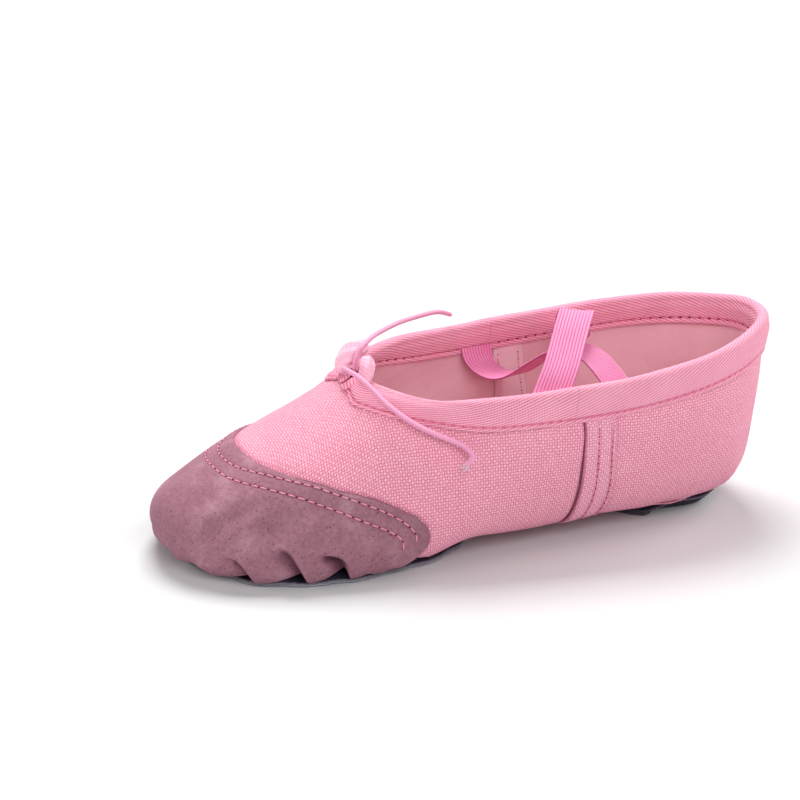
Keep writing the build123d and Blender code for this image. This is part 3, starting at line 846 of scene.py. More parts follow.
def vamp():
    turn, rise = wall_grid(lambda r: seam_turn(r) + .0006, lambda r: 2 - seam_turn(r) - .0006,
                           CANVAS_FOOT, vamp_columns, canvas_rows)
    points, out = surface(turn, rise), outward(turn, rise)
    edge = cap_edge(turn)
    capped = edge > 0
    under_cap = smoothstep(.0, .03, edge - rise + .02) * capped
    relief = wrinkle(points, rise) * (1 - bell(rise - edge, .03) * capped)
    relief = relief * (1 - under_cap) - under_cap * .05
    # the raw edge at the seam turns in
    from_seam = (half_turn(turn) - seam_turn(rise)) / SIDE_TURN_MM
    roll = -.55 * bell(from_seam, .55)
    relief -= .18 * bell(rise - BINDING_RISE, .022)
    relief -= tuck(turn, rise)
    shade = .85 * bell(from_seam, .35)
    above_cap = capped * (rise > edge)
    shade = np.maximum(shade, .55 * smoothstep(.016, .0, np.abs(rise - edge)) * above_cap)
    obj = shell("vamp", pushed(points, out, CANVAS_OUT + relief + roll),
                pushed(points, out, CANVAS_IN + np.minimum(relief, 0) + roll * .5),
                out[0, canvas_rows // 2], (CANVAS, CANVAS_BACK), uv=ClothMap()(points),
                attrs={"shade": shade, "pale": shade * 0}, side_mats=(0, 1, 0))
    flexing(obj, "canvas", "vamp_canvas")


def quarter(name, side):
    """rear side of the upper, with the seam allowance turned to the rear and topstitched"""
    left_turn, rise = wall_grid(lambda r: .0008, lambda r: seam_turn(r) - .0006,
                                CANVAS_FOOT, quarter_columns, canvas_rows)
    turn = on_side(left_turn, side)
    points, out = surface(turn, rise), outward(turn, rise)
    from_seam = (seam_turn(rise) - left_turn) / SIDE_TURN_MM
    from_back = left_turn / SIDE_TURN_MM
    relief = wrinkle(points, rise) * smoothstep(0, 14, from_seam)
    relief += gather(left_turn, rise, seed=21 + side)
    relief -= .16 * bell(rise - BINDING_RISE, .022)
    relief -= .45 * bell(from_back, .5)
    allowance = smoothstep(9.2, 8.0, from_seam) * .42
    rows = -.22 * sum(bell(from_seam - row, .55) for row in SEAM_ROWS) * (from_seam < 12)
    roll = -.75 * bell(from_seam, .45)
    shade = (.95 * bell(from_seam, .45) + .25 * bell(from_seam - 8.9, .35)
             + .5 * bell(from_back, .4)
             + .22 * sum(bell(from_seam - row, .4) for row in SEAM_ROWS))
    pale = .45 * smoothstep(8.6, 8.0, from_seam) * smoothstep(.3, .9, from_seam)
    obj = shell(name + "_quarter",
                pushed(points, out, CANVAS_OUT + relief + allowance + rows + roll),
                pushed(points, out, CANVAS_IN + np.minimum(relief, 0) * .6),
                out[quarter_columns // 2, canvas_rows // 2], (CANVAS, CANVAS_BACK),
                attrs={"shade": np.clip(shade, 0, 1), "pale": pale}, side_mats=(0, 1, 0))
    riding(obj, HEEL, "canvas", name + "_quarter_canvas")


def lining(node, start, end, columns):
    turn, rise = wall_grid(start, end, .0, columns, lining_rows)
    points, out = surface(turn, rise), outward(turn, rise)
    drawn_in = np.minimum(wrinkle(points, rise), 0) - tuck(turn, rise)
    slack = .42 * soft_noise(points * 1.1 + 40) + .20 * fine_noise(points + 9)
    slack = np.minimum(slack * smoothstep(.95, .75, rise), .12)
    obj = shell(node + "_cloth", pushed(points, out, LINING_OUT + drawn_in),
                pushed(points, out, LINING_IN + slack + drawn_in),
                out[20, lining_rows // 2], (LINING,))
    flexing(obj, "lining", node)


vamp()
for name, side in SIDES:
    quarter(name, side)
lining("vamp_lining", lambda r: seam_turn(r) + .0004, lambda r: 2 - seam_turn(r) - .0004, 150)
lining("left_quarter_lining", lambda r: 0, lambda r: seam_turn(r) - .0004, 80)
lining("right_quarter_lining", lambda r: 2 - seam_turn(r) + .0004, lambda r: 2, 80)

# ---------------------------------------------------------------- tapes inside the seams
TAPE_OUT, TAPE_IN = -1.75, -2.05
SIDE_TAPE_TURN = .048         # width of a side tape
HEEL_TAPE_TURN = .036         # half width of the heel tape
SIDE_TAPE_ROWS = (.16, .84)   # stitch rows, as parts of the tape's width
HEEL_TAPE_ROWS = (.2, .8)
TAPE_TOP_DEPTH = 10.0
tape_across = np.linspace(0, 1, 24)[:, None]


def tape_rises(low, turn_at_top):
    high = rise_at(turn_at_top, TAPE_TOP_DEPTH)
    return np.broadcast_to(low + (high - low) * np.linspace(0, 1, 70), (24, 70))


def seam_tape(name, turn, rise, rows):
    points, out = surface(turn, rise), outward(turn, rise)
    across = np.broadcast_to(tape_across, rise.shape)
    puff = (.22 * np.sin(np.pi * across) ** .35
            - .18 * sum(bell(across - row, .05) for row in rows))
    return shell(name, pushed(points, out, TAPE_OUT), pushed(points, out, TAPE_IN - puff),
                 out[4, 30], (TAPE,))


rise = tape_rises(low=.06, turn_at_top=.48)
for name, side in SIDES:
    turn = on_side(seam_turn(rise) - SIDE_TAPE_TURN * tape_across, side)
    flexing(seam_tape(name + "_side_tape", turn, rise, SIDE_TAPE_ROWS),
            "seam_tape", name + "_side_seam_tape")
turn = HEEL_TAPE_TURN * (2 * tape_across - 1)
riding(seam_tape("heel_tape", turn, tape_rises(low=.08, turn_at_top=0), HEEL_TAPE_ROWS),
       HEEL, "seam_tape", "heel_seam_tape")

# ---------------------------------------------------------------- suede toe cap
# small pleats: ridge turn at rise .05, ridge turn at its end, end rise, height, drop,
# slow width, recovery width, sharp side (+1 towards rising turn)
PLEATS = [
    (.926, .912, .25, .5, .7, 4.0, 4.5, 1), (.962, .955, .22, .6, .8, 3.5, 4.0, 1),
    (1.008, 1.0, .26, .6, .8, 4.5, 4.5, 1), (.703, .700, .13, .5, .8, 2.6, 2.8, 1),
    (.668, .670, .16, .3, .5, 2.5, 2.5, 1), (1.050, 1.055, .20, .6, .8, 4.0, 4.5, -1),
    (1.092, 1.080, .24, .5, .7, 4.0, 4.5, -1), (1.302, 1.300, .14, .5, .9, 3.0, 3.2, -1),
    (1.336, 1.333, .15, .3, .5, 2.5, 2.5, -1)]
# folded lips: path of (turn, rise) from the hem upward, drop beside the lip, drop width,
# ridge height, ridge width, side of the hollow
LIPS = [
    ([(.728, -.05), (.7305, .08), (.7315, .142), (.7312, .19), (.7335, .222), (.7465, .252),
      (.765, .266), (.778, .270)], 3.3, 5.2, .9, 4.0, 1),
    ([(.780, -.05), (.783, .10), (.786, .182), (.792, .240), (.803, .284), (.817, .302),
      (.830, .306)], 2.5, 6.0, 1.1, 5.0, 1),
    ([(.841, -.05), (.845, .10), (.8477, .162), (.857, .215), (.870, .242),
      (.884, .252)], 1.9, 5.5, 1.0, 5.0, 1),
    ([(.893, -.05), (.898, .08), (.9026, .129), (.912, .160),
      (.926, .176)], 1.2, 4.5, .6, 4.0, 1),
    ([(1.137, -.05), (1.134, .08), (1.130, .14), (1.122, .19),
      (1.108, .215)], 1.5, 5.0, .8, 4.5, -1),
    ([(1.186, -.05), (1.182, .10), (1.178, .17), (1.170, .23), (1.156, .262),
      (1.144, .270)], 2.2, 6.0, 1.0, 5.0, -1),
    ([(1.238, -.05), (1.234, .10), (1.230, .16), (1.222, .22), (1.208, .25),
      (1.192, .262)], 2.6, 5.5, 1.0, 4.5, -1),
    ([(1.283, -.05), (1.279, .08), (1.275, .13), (1.268, .175),
      (1.254, .20)], 1.8, 4.5, .8, 3.5, -1)]
# hollows: turn, rise, width mm, height as rise, depth (a swelling when negative)
HOLLOWS = [
    (.8815, .405, 4.2, .050, 1.15), (.8315, .365, 4.2, .055, 1.25),
    (.8945, .325, 3.2, .055, 1.2), (.800, .44, 5.0, .045, .75), (.753, .325, 5.0, .050, .7),
    (.935, .42, 4.6, .06, .65), (.852, .300, 3.0, .05, .5), (.712, .30, 4.5, .05, .5),
    (1.10, .42, 6.0, .09, .9), (1.20, .38, 5.5, .09, 1.0), (1.27, .30, 5.0, .09, .8),
    (1.03, .44, 6.0, .09, .6), (1.15, .33, 4.0, .06, .7), (.877, .275, 2.8, .065, -.75),
    (.7835, .335, 3.2, .075, -1.0), (.857, .385, 3.6, .045, -.65),
    (.815, .44, 4.5, .045, -.45), (.91, .37, 3.6, .055, -.55), (.735, .40, 5.0, .05, -.35),
    (1.16, .42, 4.0, .06, -.5), (1.24, .37, 3.5, .06, -.5)]
# (turn, rise): the hem is up at the rear corners
CAP_HEM = np.array([
    (.632, .232), (.640, .203), (.650, .170), (.662, .138), (.680, .105), (.700, .082),
    (.716, .070), (.726, .0), (.740, -.030)])
# (turn, rise) of the two stitch rows on the left half
CAP_STITCH_ROWS = [
    np.array([(.652, .250), (.655, .301), (.684, .374), (.729, .440), (.773, .490),
              (.821, .538), (.868, .565), (.899, .577), (.952, .583), (1.0, .588)]),
    np.array([(.665, .225), (.674, .298), (.716, .368), (.759, .423), (.804, .473),
              (.851, .510), (.894, .530), (.935, .541), (.979, .553), (1.0, .555)])]
CAP_OFFSET = .42
CAP_FLOOR = 1.05          # the cap stays above this height
cap_columns, cap_rows = ((560, 150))


def lip_field(turn, rise, path, side):
    """signed distance to a folded lip (positive on its hollow side) and the way along it,
    0 at the hem to 1 at its end"""
    to_mm = [1 / TOE_TURN_MM, 1 / RISE_MM]
    spline, length = spline_through(np.array(path, float) * to_mm)
    marks = np.linspace(0, length, 60)
    line = spline(marks)
    x, y = turn * to_mm[0], rise * to_mm[1]
    nearest = np.full(x.shape, 1e9)
    sign = np.ones(x.shape)
    way = np.zeros(x.shape)
    for i in range(len(line) - 1):
        start, step = line[i], line[i + 1] - line[i]
        part = np.clip(((x - start[0]) * step[0] + (y - start[1]) * step[1])
                       / (step @ step), 0, 1)
        away_x = x - start[0] - part * step[0]
        away_y = y - start[1] - part * step[1]
        square = away_x * away_x + away_y * away_y
        closer = square < nearest
        nearest = np.where(closer, square, nearest)
        cross = -(step[0] * away_y - step[1] * away_x)
        sign = np.where(closer, np.sign(cross) * side, sign)
        way = np.where(closer, (marks[i] + part * (marks[i + 1] - marks[i])) / length, way)
    return np.sqrt(nearest) * sign, way


def gathers(turn, rise):
    """relief of the pleats, lips and hollows"""
    relief = np.zeros(turn.shape)
    for low, high, end, height, drop, slow, recover, side in PLEATS:
        ridge = low + (high - low) * np.clip((rise - .05) / (end - .05), -.3, 1.3)
        x = (turn - ridge) / TOE_TURN_MM * side
        sharp = .35 + .9 * np.clip(rise / end, 0, 1)
        up = height * np.where(x < 0, bell(x, slow), bell(x, sharp * 1.3))
        down = drop * (x > 0) * (1 - bell(x, sharp)) * bell(x, recover)
        relief += smoothstep(end * 1.12, end * .45, rise) * (up - down)
    for path, drop, drop_width, height, ridge_width, side in LIPS:
        x, way = lip_field(turn, rise, path, side)
        fade = smoothstep(1.0, .78, way)
        sharp = .38 + 1.5 * smoothstep(.72, 1.0, way)
        inside = np.maximum(x, 0)
        down = drop * fade * (1 - bell(inside, sharp)) * bell(inside, drop_width)
        up = (height * (.35 + .65 * fade) * smoothstep(1.0, .75, way)
              * np.where(x < 0, bell(x, ridge_width), bell(x, sharp * .9)))
        relief += up - down
    for centre, middle, width, tall, depth in HOLLOWS:
        relief -= (depth * bell((turn - centre) / TOE_TURN_MM, width)
                   * bell(rise - middle, tall))
    return relief


def hem_rise(turn):
    """rise of the turned edge, lifted on the hollow side of each lip"""
    half = half_turn(turn)
    rise = np.interp(half, *CAP_HEM.T)
    for path, drop, width, _, _, side in LIPS:
        x = (turn - path[1][0]) / TOE_TURN_MM * side
        rise += .062 * drop / 2.2 * bell(x - .45 * width, .50 * width) * (half > .725)
    return rise


# columns crowd towards the rear corners
cap_corner = np.array([.632, .6335, .636])
cap_turns = np.concatenate([cap_corner, np.linspace(.639, 1.361, cap_columns - 6),
                            2 - cap_corner[::-1]])


def toe_cap():
    """returns the rises and the outer points of its grid"""
    turn = np.repeat(cap_turns[:, None], cap_rows, 1)
    top = cap_edge(cap_turns)[:, None]
    hem = hem_rise(cap_turns)[:, None]
    rise = hem + (top - hem) * np.linspace(0, 1, cap_rows)[None, :] ** .9
    points, out = surface(turn, rise), outward(turn, rise)
    folds = gathers(turn, rise)
    # mm in from the upper edge and the rear corners
    from_edge = np.minimum((top - rise) / RISE_MM,
                           np.minimum(turn - .632, 1.368 - turn) / .0044)
    lip = .10 * smoothstep(.9, .0, from_edge) - .82 * smoothstep(1.1, .0, from_edge)
    groove = np.zeros(turn.shape)
    for row in CAP_STITCH_ROWS:
        row_rise = np.interp(cap_turns, *both_halves(row), left=np.nan, right=np.nan)
        groove += np.nan_to_num(bell(rise - row_rise[:, None], .0065))
    soft = .26 * soft_noise(points * .9 + 11) + .12 * fine_noise(points * 1.2 + 3)
    soft *= smoothstep(0, 9, from_edge)
    relief = CAP_OFFSET + folds + lip - .22 * groove + soft
    outer = pushed(points, out, relief)
    # nothing of the cap goes below the sole patch's top
    outer[..., 2] = CAP_FLOOR + np.logaddexp(0, (outer[..., 2] - CAP_FLOOR) * 3) / 3
    near = smoothstep(3.0, .4, from_edge)
    inner = pushed(points, out, np.minimum(relief - .62, -.30) * (1 - near) - .80 * near)
    inner[..., 2] = np.maximum(inner[..., 2], outer[..., 2] + .15)
    # painted shade: the suede darkens in the deep fold hollows and along the stitch grooves
    shade = .85 * smoothstep(-.7, -2.7, folds) + .20 * np.clip(groove, 0, 1)
    obj = shell("toe_cap_suede", outer, inner, out[cap_columns // 2, cap_rows // 2],
                (TOE_SUEDE,), attrs={"shade": np.clip(shade, 0, 1)})
    flexing(obj, "toe_suede", "toe_cap")
    return rise, outer


cap_rises, cap_outer = toe_cap()


def cap_point(turn, rise):
    """point on the finished suede"""
    i = np.clip(np.searchsorted(cap_turns, turn) - 1, 0, len(cap_turns) - 2)
    part = (turn - cap_turns[i]) / (cap_turns[i + 1] - cap_turns[i])
    column = cap_outer[i] * (1 - part) + cap_outer[i + 1] * part
    rises = cap_rises[i] * (1 - part) + cap_rises[i + 1] * part
    return np.array([np.interp(rise, rises, column[:, axis]) for axis in range(3)])


# ---------------------------------------------------------------- stitches
CAP_STITCH = dict(pitch=2.9, length=2.2, width=.42, height=.30, hole=.30, lift=.10,
                  mats=(THREAD, HOLE_SHADE))
BINDING_STITCH = dict(pitch=3.0, length=2.3, width=.46, height=.30, hole=.16,
                      mats=(BINDING_THREAD, PINK_HOLE_SHADE))
BINDING_IN_STITCH = dict(pitch=3.2, length=1.9, width=.42, height=.24, hole=.40,
                         mats=(BINDING_THREAD, HOLE_SHADE))
SEAM_STITCH = dict(pitch=2.3, length=1.5, width=.42, height=.30, hole=.30, jitter=.08,
                   mats=(BINDING_THREAD, PINK_HOLE_SHADE))
TAPE_STITCH = dict(pitch=2.6, length=1.7, width=.40, height=.24, hole=.24, jitter=.06,
                   mats=(THREAD, HOLE_SHADE))
SOLE_STITCH = dict(pitch=3.4, length=2.2, width=.5, height=.3, hole=.3, mats=(THREAD, HOLE_SHADE))


def thread_shape(length, width, height):
    """one stitch: a short thread that rises from one hole and sinks into the next.
    x runs along the row, z out of the cloth."""
    rings, sides = 9, 8
    verts = []
    for i, x in enumerate(np.linspace(-.5, .5, rings)):
        body = max(0.0, 1 - (2 * x) ** 2)
        radius = .5 * body ** .35 if 0 < i < rings - 1 else .12
        z = .35 * height * body ** .6 - height * .45 * (1 - body ** .5)
        for j in range(sides):
            angle = 2 * np.pi * j / sides
            verts.append((x * length, math.cos(angle) * width * radius,
                          z + math.sin(angle) * height * radius * 1.1))
    verts += [(-.5 * length, 0, -height * .45), (.5 * length, 0, -height * .45)]
    return np.array(verts), tube_faces(rings, sides)


def hole_shape(radius, depth):
    """a needle hole's painted shade: a small dark button"""
    sides = 8
    # radius and height of each ring, as parts of the button's
    rings = ((.45, .9), (.8, .5), (1.0, 0.0), (.8, -1), (.3, -1.6))
    verts = [(0, 0, depth)]
    for wide, tall in rings:
        for j in range(sides):
            angle = 2 * np.pi * j / sides
            verts.append((math.cos(angle) * radius * wide, math.sin(angle) * radius * wide,
                          depth * tall))
    verts.append((0, 0, -depth * 1.7))
    faces = []
    for j in range(sides):
        k = (j + 1) % sides
        faces.append([0, 1 + j, 1 + k])
        for i in range(len(rings) - 1):
            low, high = 1 + i * sides, 1 + (i + 1) * sides
            faces.append([low + j, high + j, high + k, low + k])
    last = 1 + (len(rings) - 1) * sides
    for j in range(sides):
        faces.append([len(verts) - 1, last + (j + 1) % sides, last + j])
    return np.array(verts), faces


def stitch_row(name, points, outs, pitch, length, width, height, hole, mats, jitter=.04,
               lift=0.0):
    """stitches along a line, each followed by the painted shade of a needle hole"""
    margin = .5
    lengths = running_length(points)
    thread, thread_faces = thread_shape(length, width, height)
    button, button_faces = hole_shape(hole, .10)
    verts, faces, slots, uv = [], [], [], []

    def sample(curve, mark):
        return np.array([np.interp(mark, lengths, curve[:, axis]) for axis in range(3)])

    def add(shape, shape_faces, slot, mark, out, x, y):
        base = len(verts)
        verts.extend(sample(points, mark) + out * lift + shape @ np.array([x, y, out]))
        faces.extend([base + k for k in face] for face in shape_faces)
        slots.extend([slot] * len(shape_faces))

    for i in range(int((lengths[-1] - 2 * margin) // pitch)):
        mark = margin + pitch * (i + .5) + rng.uniform(-1, 1) * jitter * pitch
        out = unit(sample(outs, mark))
        x = sample(points, mark + .4) - sample(points, mark - .4)
        x = unit(x - out * (x @ out))
        y = np.cross(out, x)
        angle = rng.uniform(-.05, .05)
        x, y = (x * math.cos(angle) + y * math.sin(angle),
                y * math.cos(angle) - x * math.sin(angle))
        add(thread, thread_faces, 0, mark, out, x, y)
        uv.append(np.stack([thread[:, 0] + i * 7.3, thread[:, 1] * 4], -1))
        mark += pitch / 2
        out = unit(sample(outs, mark))
        add(button, button_faces, 1, mark, out, x, np.cross(out, x))
        uv.append(np.zeros((len(button), 2)))
    return make_obj(name, verts, faces, np.concatenate(uv), None, mats, slots)


rows = []
for i, row in enumerate(CAP_STITCH_ROWS):
    dense = cubic(np.linspace(0, 1, len(row)), row)(np.linspace(0, 1, 160))
    turns, rises = both_halves(dense)
    points = np.array([cap_point(turn, rise) for turn, rise in zip(turns, rises)])
    rows.append(stitch_row("cap_row_%d" % i, points, outward(turns, rises), **CAP_STITCH))
flexing(join("toe_cap_stitches", rows), "thread", "toe_cap_stitching")

# ---------------------------------------------------------------- topline binding
# a tape rolled over the crest: an outer leg, a round roll and an inner leg
ROLL_OUT, ROLL_IN = 1.85, 1.10  # radii of the roll's two faces
ROLL_DEPTH = ROLL_OUT           # the roll's top reaches the crest
BINDING_MID = -1.50             # offset of the tape's mid surface
OUTER_EDGE, INNER_EDGE = 11.0, 10.4   # depths of the tape's edges
OUTER_ROW, INNER_ROW = 9.4, 8.4       # depths of its stitch rows
TWILL_PITCH = .86
TWILL_ANGLE = math.radians(20)
SEAM_TOP = float(seam_turn(1.0))      # turn where front and rear tapes meet
THROAT = .962                         # turn where a front tape ends

leg_rows, roll_rows = ((48, 24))
binding_step = .45
heel_turns = np.linspace(0, 1, 400)
heel_lengths = running_length(surface(heel_turns, 1.0))


def outer_depth(turn, depth):
    """depth on the outer leg, which narrows towards the throat"""
    edge = OUTER_EDGE - 3.6 * smoothstep(.895, THROAT, half_turn(turn))
    return ROLL_DEPTH + (depth - ROLL_DEPTH) * (edge - ROLL_DEPTH) / (OUTER_EDGE - ROLL_DEPTH)


def leg_reach(depth, row, bulge, edge_drop, edge_start, edge):
    """distance of a leg's face from the mid surface: bulging above the stitch row,
    pinched at it and thin at the edge"""
    swell = bulge * np.sin(np.pi * .55 * np.clip((row - depth) / (row - ROLL_DEPTH), 0, 1))
    swell *= smoothstep(ROLL_DEPTH - .2, ROLL_DEPTH + 2.6, depth)
    return (ROLL_OUT + swell - .34 * bell(depth - row, .5)
            - edge_drop * smoothstep(edge_start, edge, depth))


def build_binding(name, start, end):
    """tape along the topline between two turns"""
    turn = np.linspace(start, end, 2000)
    lengths = running_length(surface(turn, 1.0))
    turn = np.interp(np.linspace(0, lengths[-1], int(lengths[-1] / binding_step)),
                     lengths, turn)
    outer_depths = np.linspace(OUTER_EDGE, ROLL_DEPTH + .01, leg_rows)
    inner_depths = np.linspace(ROLL_DEPTH + .01, INNER_EDGE, leg_rows)
    face, back = [], []
    for depth in outer_depths:
        point, out, _ = crest_frame(turn, outer_depth(turn, depth))
        reach = leg_reach(depth, OUTER_ROW, .62, .36, 10.55, OUTER_EDGE)
        face.append(point + out * (BINDING_MID + reach))
        back.append(point + out * (BINDING_MID + ROLL_IN))
    point, out, up = crest_frame(turn, ROLL_DEPTH)
    centre = point + out * BINDING_MID
    for angle in np.linspace(0, np.pi, roll_rows + 2)[1:-1]:
        direction = out * math.cos(angle) + up * math.sin(angle)
        face.append(centre + direction * ROLL_OUT)
        back.append(centre + direction * ROLL_IN)
    for depth in inner_depths:
        point, out, _ = crest_frame(turn, depth)
        reach = leg_reach(depth, INNER_ROW, .50, .30, 10.0, INNER_EDGE)
        face.append(point + out * (BINDING_MID - reach))
        back.append(point + out * (BINDING_MID - ROLL_IN))
    face, back = np.stack(face, 1), np.stack(back, 1)

    counts = [leg_rows, roll_rows, leg_rows]
    is_outer, is_roll, is_inner = (np.repeat(np.arange(3), counts) == k for k in range(3))
    depth = np.concatenate([outer_depths, np.zeros(roll_rows), inner_depths])
    steps = np.repeat([(OUTER_EDGE - ROLL_DEPTH) / leg_rows,
                       ROLL_OUT * math.pi / (roll_rows + 1),
                       (INNER_EDGE - ROLL_DEPTH) / leg_rows], counts)
    width = np.concatenate([[0], np.cumsum(steps)[:-1]])
    # running length from the heel mirrors the twill about the heel-toe plane
    along = np.interp(half_turn(turn), heel_turns, heel_lengths)[:, None]
    phase = (along * math.sin(TWILL_ANGLE) + width * math.cos(TWILL_ANGLE)) / TWILL_PITCH
    phase = phase + .10 * np.sin(along * .09)
    ridge = (.5 + .5 * np.cos(2 * np.pi * phase)) ** .7
    out = unit(np.cross(np.gradient(face, axis=1), np.gradient(face, axis=0)))
    middle = len(turn) // 2, leg_rows // 2
    if np.dot(out[middle], face[middle] - back[middle]) < 0:
        out = -out
    flat = is_outer & (depth > OUTER_ROW - .3) | is_inner & (depth > INNER_ROW - .3)
    ridge_height = np.where(flat, .07, .14)
    pucker = .10 * np.sin(along * 2 * np.pi / 3.1) * bell(depth - 8.2, 1.3) * ~is_roll
    slow = .096 * np.sin(along * .21 + 1) * is_roll
    face = pushed(face, out, (ridge - .5) * ridge_height + pucker + slow)
    shade = (.60 * bell(depth - OUTER_ROW, .38) * is_outer
             + .55 * bell(depth - INNER_ROW, .35) * is_inner
             + .25 * (depth > 10.7) * is_outer)
    uv = np.stack(np.broadcast_arrays(along, width), -1)
    return shell(name, face, back, out[middle], (BINDING,), uv=uv,
                 attrs={"ridge": ridge,
                        "shade": np.broadcast_to(np.clip(shade, 0, 1), ridge.shape)})


for name, start, end in (("front_left", SEAM_TOP, THROAT),
                         ("front_right", 2 - THROAT, 2 - SEAM_TOP),
                         ("rear", -SEAM_TOP, SEAM_TOP)):
    flexing(build_binding("binding_" + name, start, end), "binding",
            "topline_binding_" + name)

# stuffed ends of the binding that stand up at the throat:
# name, path, radius along it, phase of its lumps
END_STATIONS = [0, .04, .12, .3, .6, .85, .96, 1.0]
BINDING_ENDS = [
    ("right", [(-2.4, -39.6, 50.6), (-4.4, -38.8, 53.6), (-4.2, -36.0, 56.8),
               (-2.6, -31.6, 58.8)], [.05, 1.3, 2.3, 2.9, 3.0, 2.5, 1.5, .05], .4),
    ("left", [(6.6, -36.2, 50.8), (6.6, -35.8, 53.2), (5.6, -35.4, 55.8),
              (3.8, -35.0, 58.0)], [.05, 1.1, 2.0, 2.45, 2.5, 2.1, 1.3, .05], 1.9)]


def binding_end(name, path, radii, lump_phase):
    """a swept oval with twill ridges running round it"""
    sides = 40
    rings = 80
    flatness = .84
    spline, length = spline_through(path)
    along = np.linspace(0, length, rings)
    line = spline(along)
    ahead = unit(np.gradient(line, axis=0))
    first = unit(np.cross(ahead, np.array([0.35, -.9, .25])))
    second = np.cross(ahead, first)
    part = (along / length)[:, None]
    theta = np.linspace(0, 2 * np.pi, sides, endpoint=False)
    phase = (along[:, None] * .95 + theta / (2 * np.pi) * 6.0) / 1.05
    ridge = .5 + .5 * np.cos(2 * np.pi * phase)
    lumps = (1 + .09 * np.sin(3 * theta + part * 5 + lump_phase)
             + .07 * np.sin(5 * theta - part * 9 + 2 * lump_phase))
    radius = np.interp(part, END_STATIONS, radii) * lumps + .07 * (ridge - .5)
    skin = (line[:, None] + first[:, None] * (np.cos(theta) * radius)[..., None]
            + second[:, None] * (np.sin(theta) * flatness * radius)[..., None])
    verts = np.concatenate([skin.reshape(-1, 3), [line[0]], [line[-1]]])
    uv = np.stack(np.broadcast_arrays(theta * 2.2, along[:, None]), -1).reshape(-1, 2)
    uv = np.concatenate([uv, [[0, 0], [0, length]]])
    ridge = np.concatenate([ridge.ravel(), [.5, .5]])
    # ridge values raised to .65 to 1 keep the ends near the pale colour: painted highlight
    return make_obj(name, verts, tube_faces(rings, sides), uv,
                    {"ridge": ridge * .35 + .65, "shade": np.zeros(len(verts))},
                    (BINDING_END_HIGHLIGHT,))


for name, *shape in BINDING_ENDS:
    flexing(binding_end("throat_end_" + name, *shape), "binding", "binding_end_folds")


def throat_lap(name, start, end, low, high, offset):
    """one of the two layers that overlap below the cord slot, from depth low to high"""
    turn = np.repeat(np.linspace(start, end, 26)[:, None], 30, 1)
    depth = np.repeat(np.linspace(low, high, 30)[None, :], 26, 0)
    points, out, _ = crest_frame(turn, depth)
    inside = np.minimum(turn - start, end - turn) / (end - start)
    inside = np.minimum(inside * 3, .5)
    ridge = .5 + .5 * np.cos(2 * np.pi * (depth * .96 + (turn - 1) * 60) / 1.05)
    relief = offset + .35 * np.sqrt(np.clip(inside * 2, 0, 1)) + .10 * (ridge - .5)
    obj = shell(name, pushed(points, out, relief), pushed(points, out, offset - .5),
                out[13, 15], (BINDING,),
                attrs={"ridge": ridge, "shade": np.clip(.6 - 3 * inside, 0, 1)})
    flexing(obj, "binding")


def cord_slot():
    """dark oval between the laps, just below the crest: painted shade in the slot's opening"""
    (point,), (out,), (up,) = crest_frame(np.array([.992]), 1.9)
    button, faces = hole_shape(1.0, .35)
    axes = np.array([(.75, 0, 0), up * 1.5, out])
    obj = make_obj("cord_slot_shade", point + out * .62 + button @ axes, faces,
                   np.zeros((len(button), 2)), None, (HOLE_SHADE,))
    flexing(obj, "binding")


throat_lap("throat_lap_right", .996, 1.040, low=6.4, high=1.4, offset=.20)
throat_lap("throat_lap_left", .952, .982, low=7.6, high=1.2, offset=.62)
cord_slot()

# ---------------------------------------------------------------- drawstring
# cord paths (x, y, z): out of the slot, then the free tails
LEFT_TAIL = [
    (3.6, -41.3, 54.4), (7.5, -40.2, 54.3), (12.5, -38.2, 52.9), (18.9, -35.6, 49.9),
    (24.8, -31.9, 46.7), (29.1, -27.2, 43.9), (32.6, -20.4, 40.9), (34.6, -15.2, 38.2),
    (35.4, -13.3, 35.4), (35.5, -14.9, 33.4)]
RIGHT_TAIL = [
    (-0.2, -35.2, 59.0), (-2.0, -32.2, 60.6), (-7.0, -26.8, 60.9), (-13.0, -18.8, 60.9),
    (-19.0, -10.8, 60.0), (-25.0, -1.8, 58.8), (-28.5, 2.4, 57.4), (-32.0, 7.2, 55.0)]
LEFT_EXIT = [(0.7, -40.2, 52.2), (1.2, -40.9, 53.6), (2.6, -41.3, 54.3), LEFT_TAIL[0]]
RIGHT_EXIT = [(0.35, -37.2, 53.4), (0.25, -36.9, 55.8), (0.0, -36.0, 58.0), RIGHT_TAIL[0]]
CASED_RADIUS, FREE_RADIUS = .68, .76


def cased_cord(name, start, end, stations, count):
    """cord inside the binding's roll"""
    points, out, _ = crest_frame(np.linspace(start, end, stations), ROLL_DEPTH)
    return tube("drawstring_run_" + name, points + out * BINDING_MID, CASED_RADIUS, (CORD,),
                sides=8, count=count)


for name, start, end in (("left", SEAM_TOP + .003, THROAT - .022),
                         ("right", 2 - SEAM_TOP - .003, 2 - THROAT + .022)):
    flexing(cased_cord(name, start, end, 50, 90), "cord", "drawstring_front_runs")
riding(cased_cord("rear", -SEAM_TOP + .003, SEAM_TOP - .003, 70, 160), HEEL,
       "cord", "drawstring_rear_run")
# blend heights are in metres
for name, path, count, low, high in (("left", LEFT_EXIT, 24, .0523, .0540),
                                     ("right", RIGHT_EXIT, 30, .0540, .0585)):
    cord_exit = tube("drawstring_exit_" + name, path, FREE_RADIUS, (CORD,), sides=20,
                     count=count)
    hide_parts("drawstring_exits")
    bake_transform(cord_exit)
for name, path in (("left", LEFT_TAIL), ("right", RIGHT_TAIL)):
    riding(tube("drawstring_tail_" + name, path, FREE_RADIUS, (CORD,), sides=20),
           name + "_tail", "cord", "drawstring_%s_tail" % name)


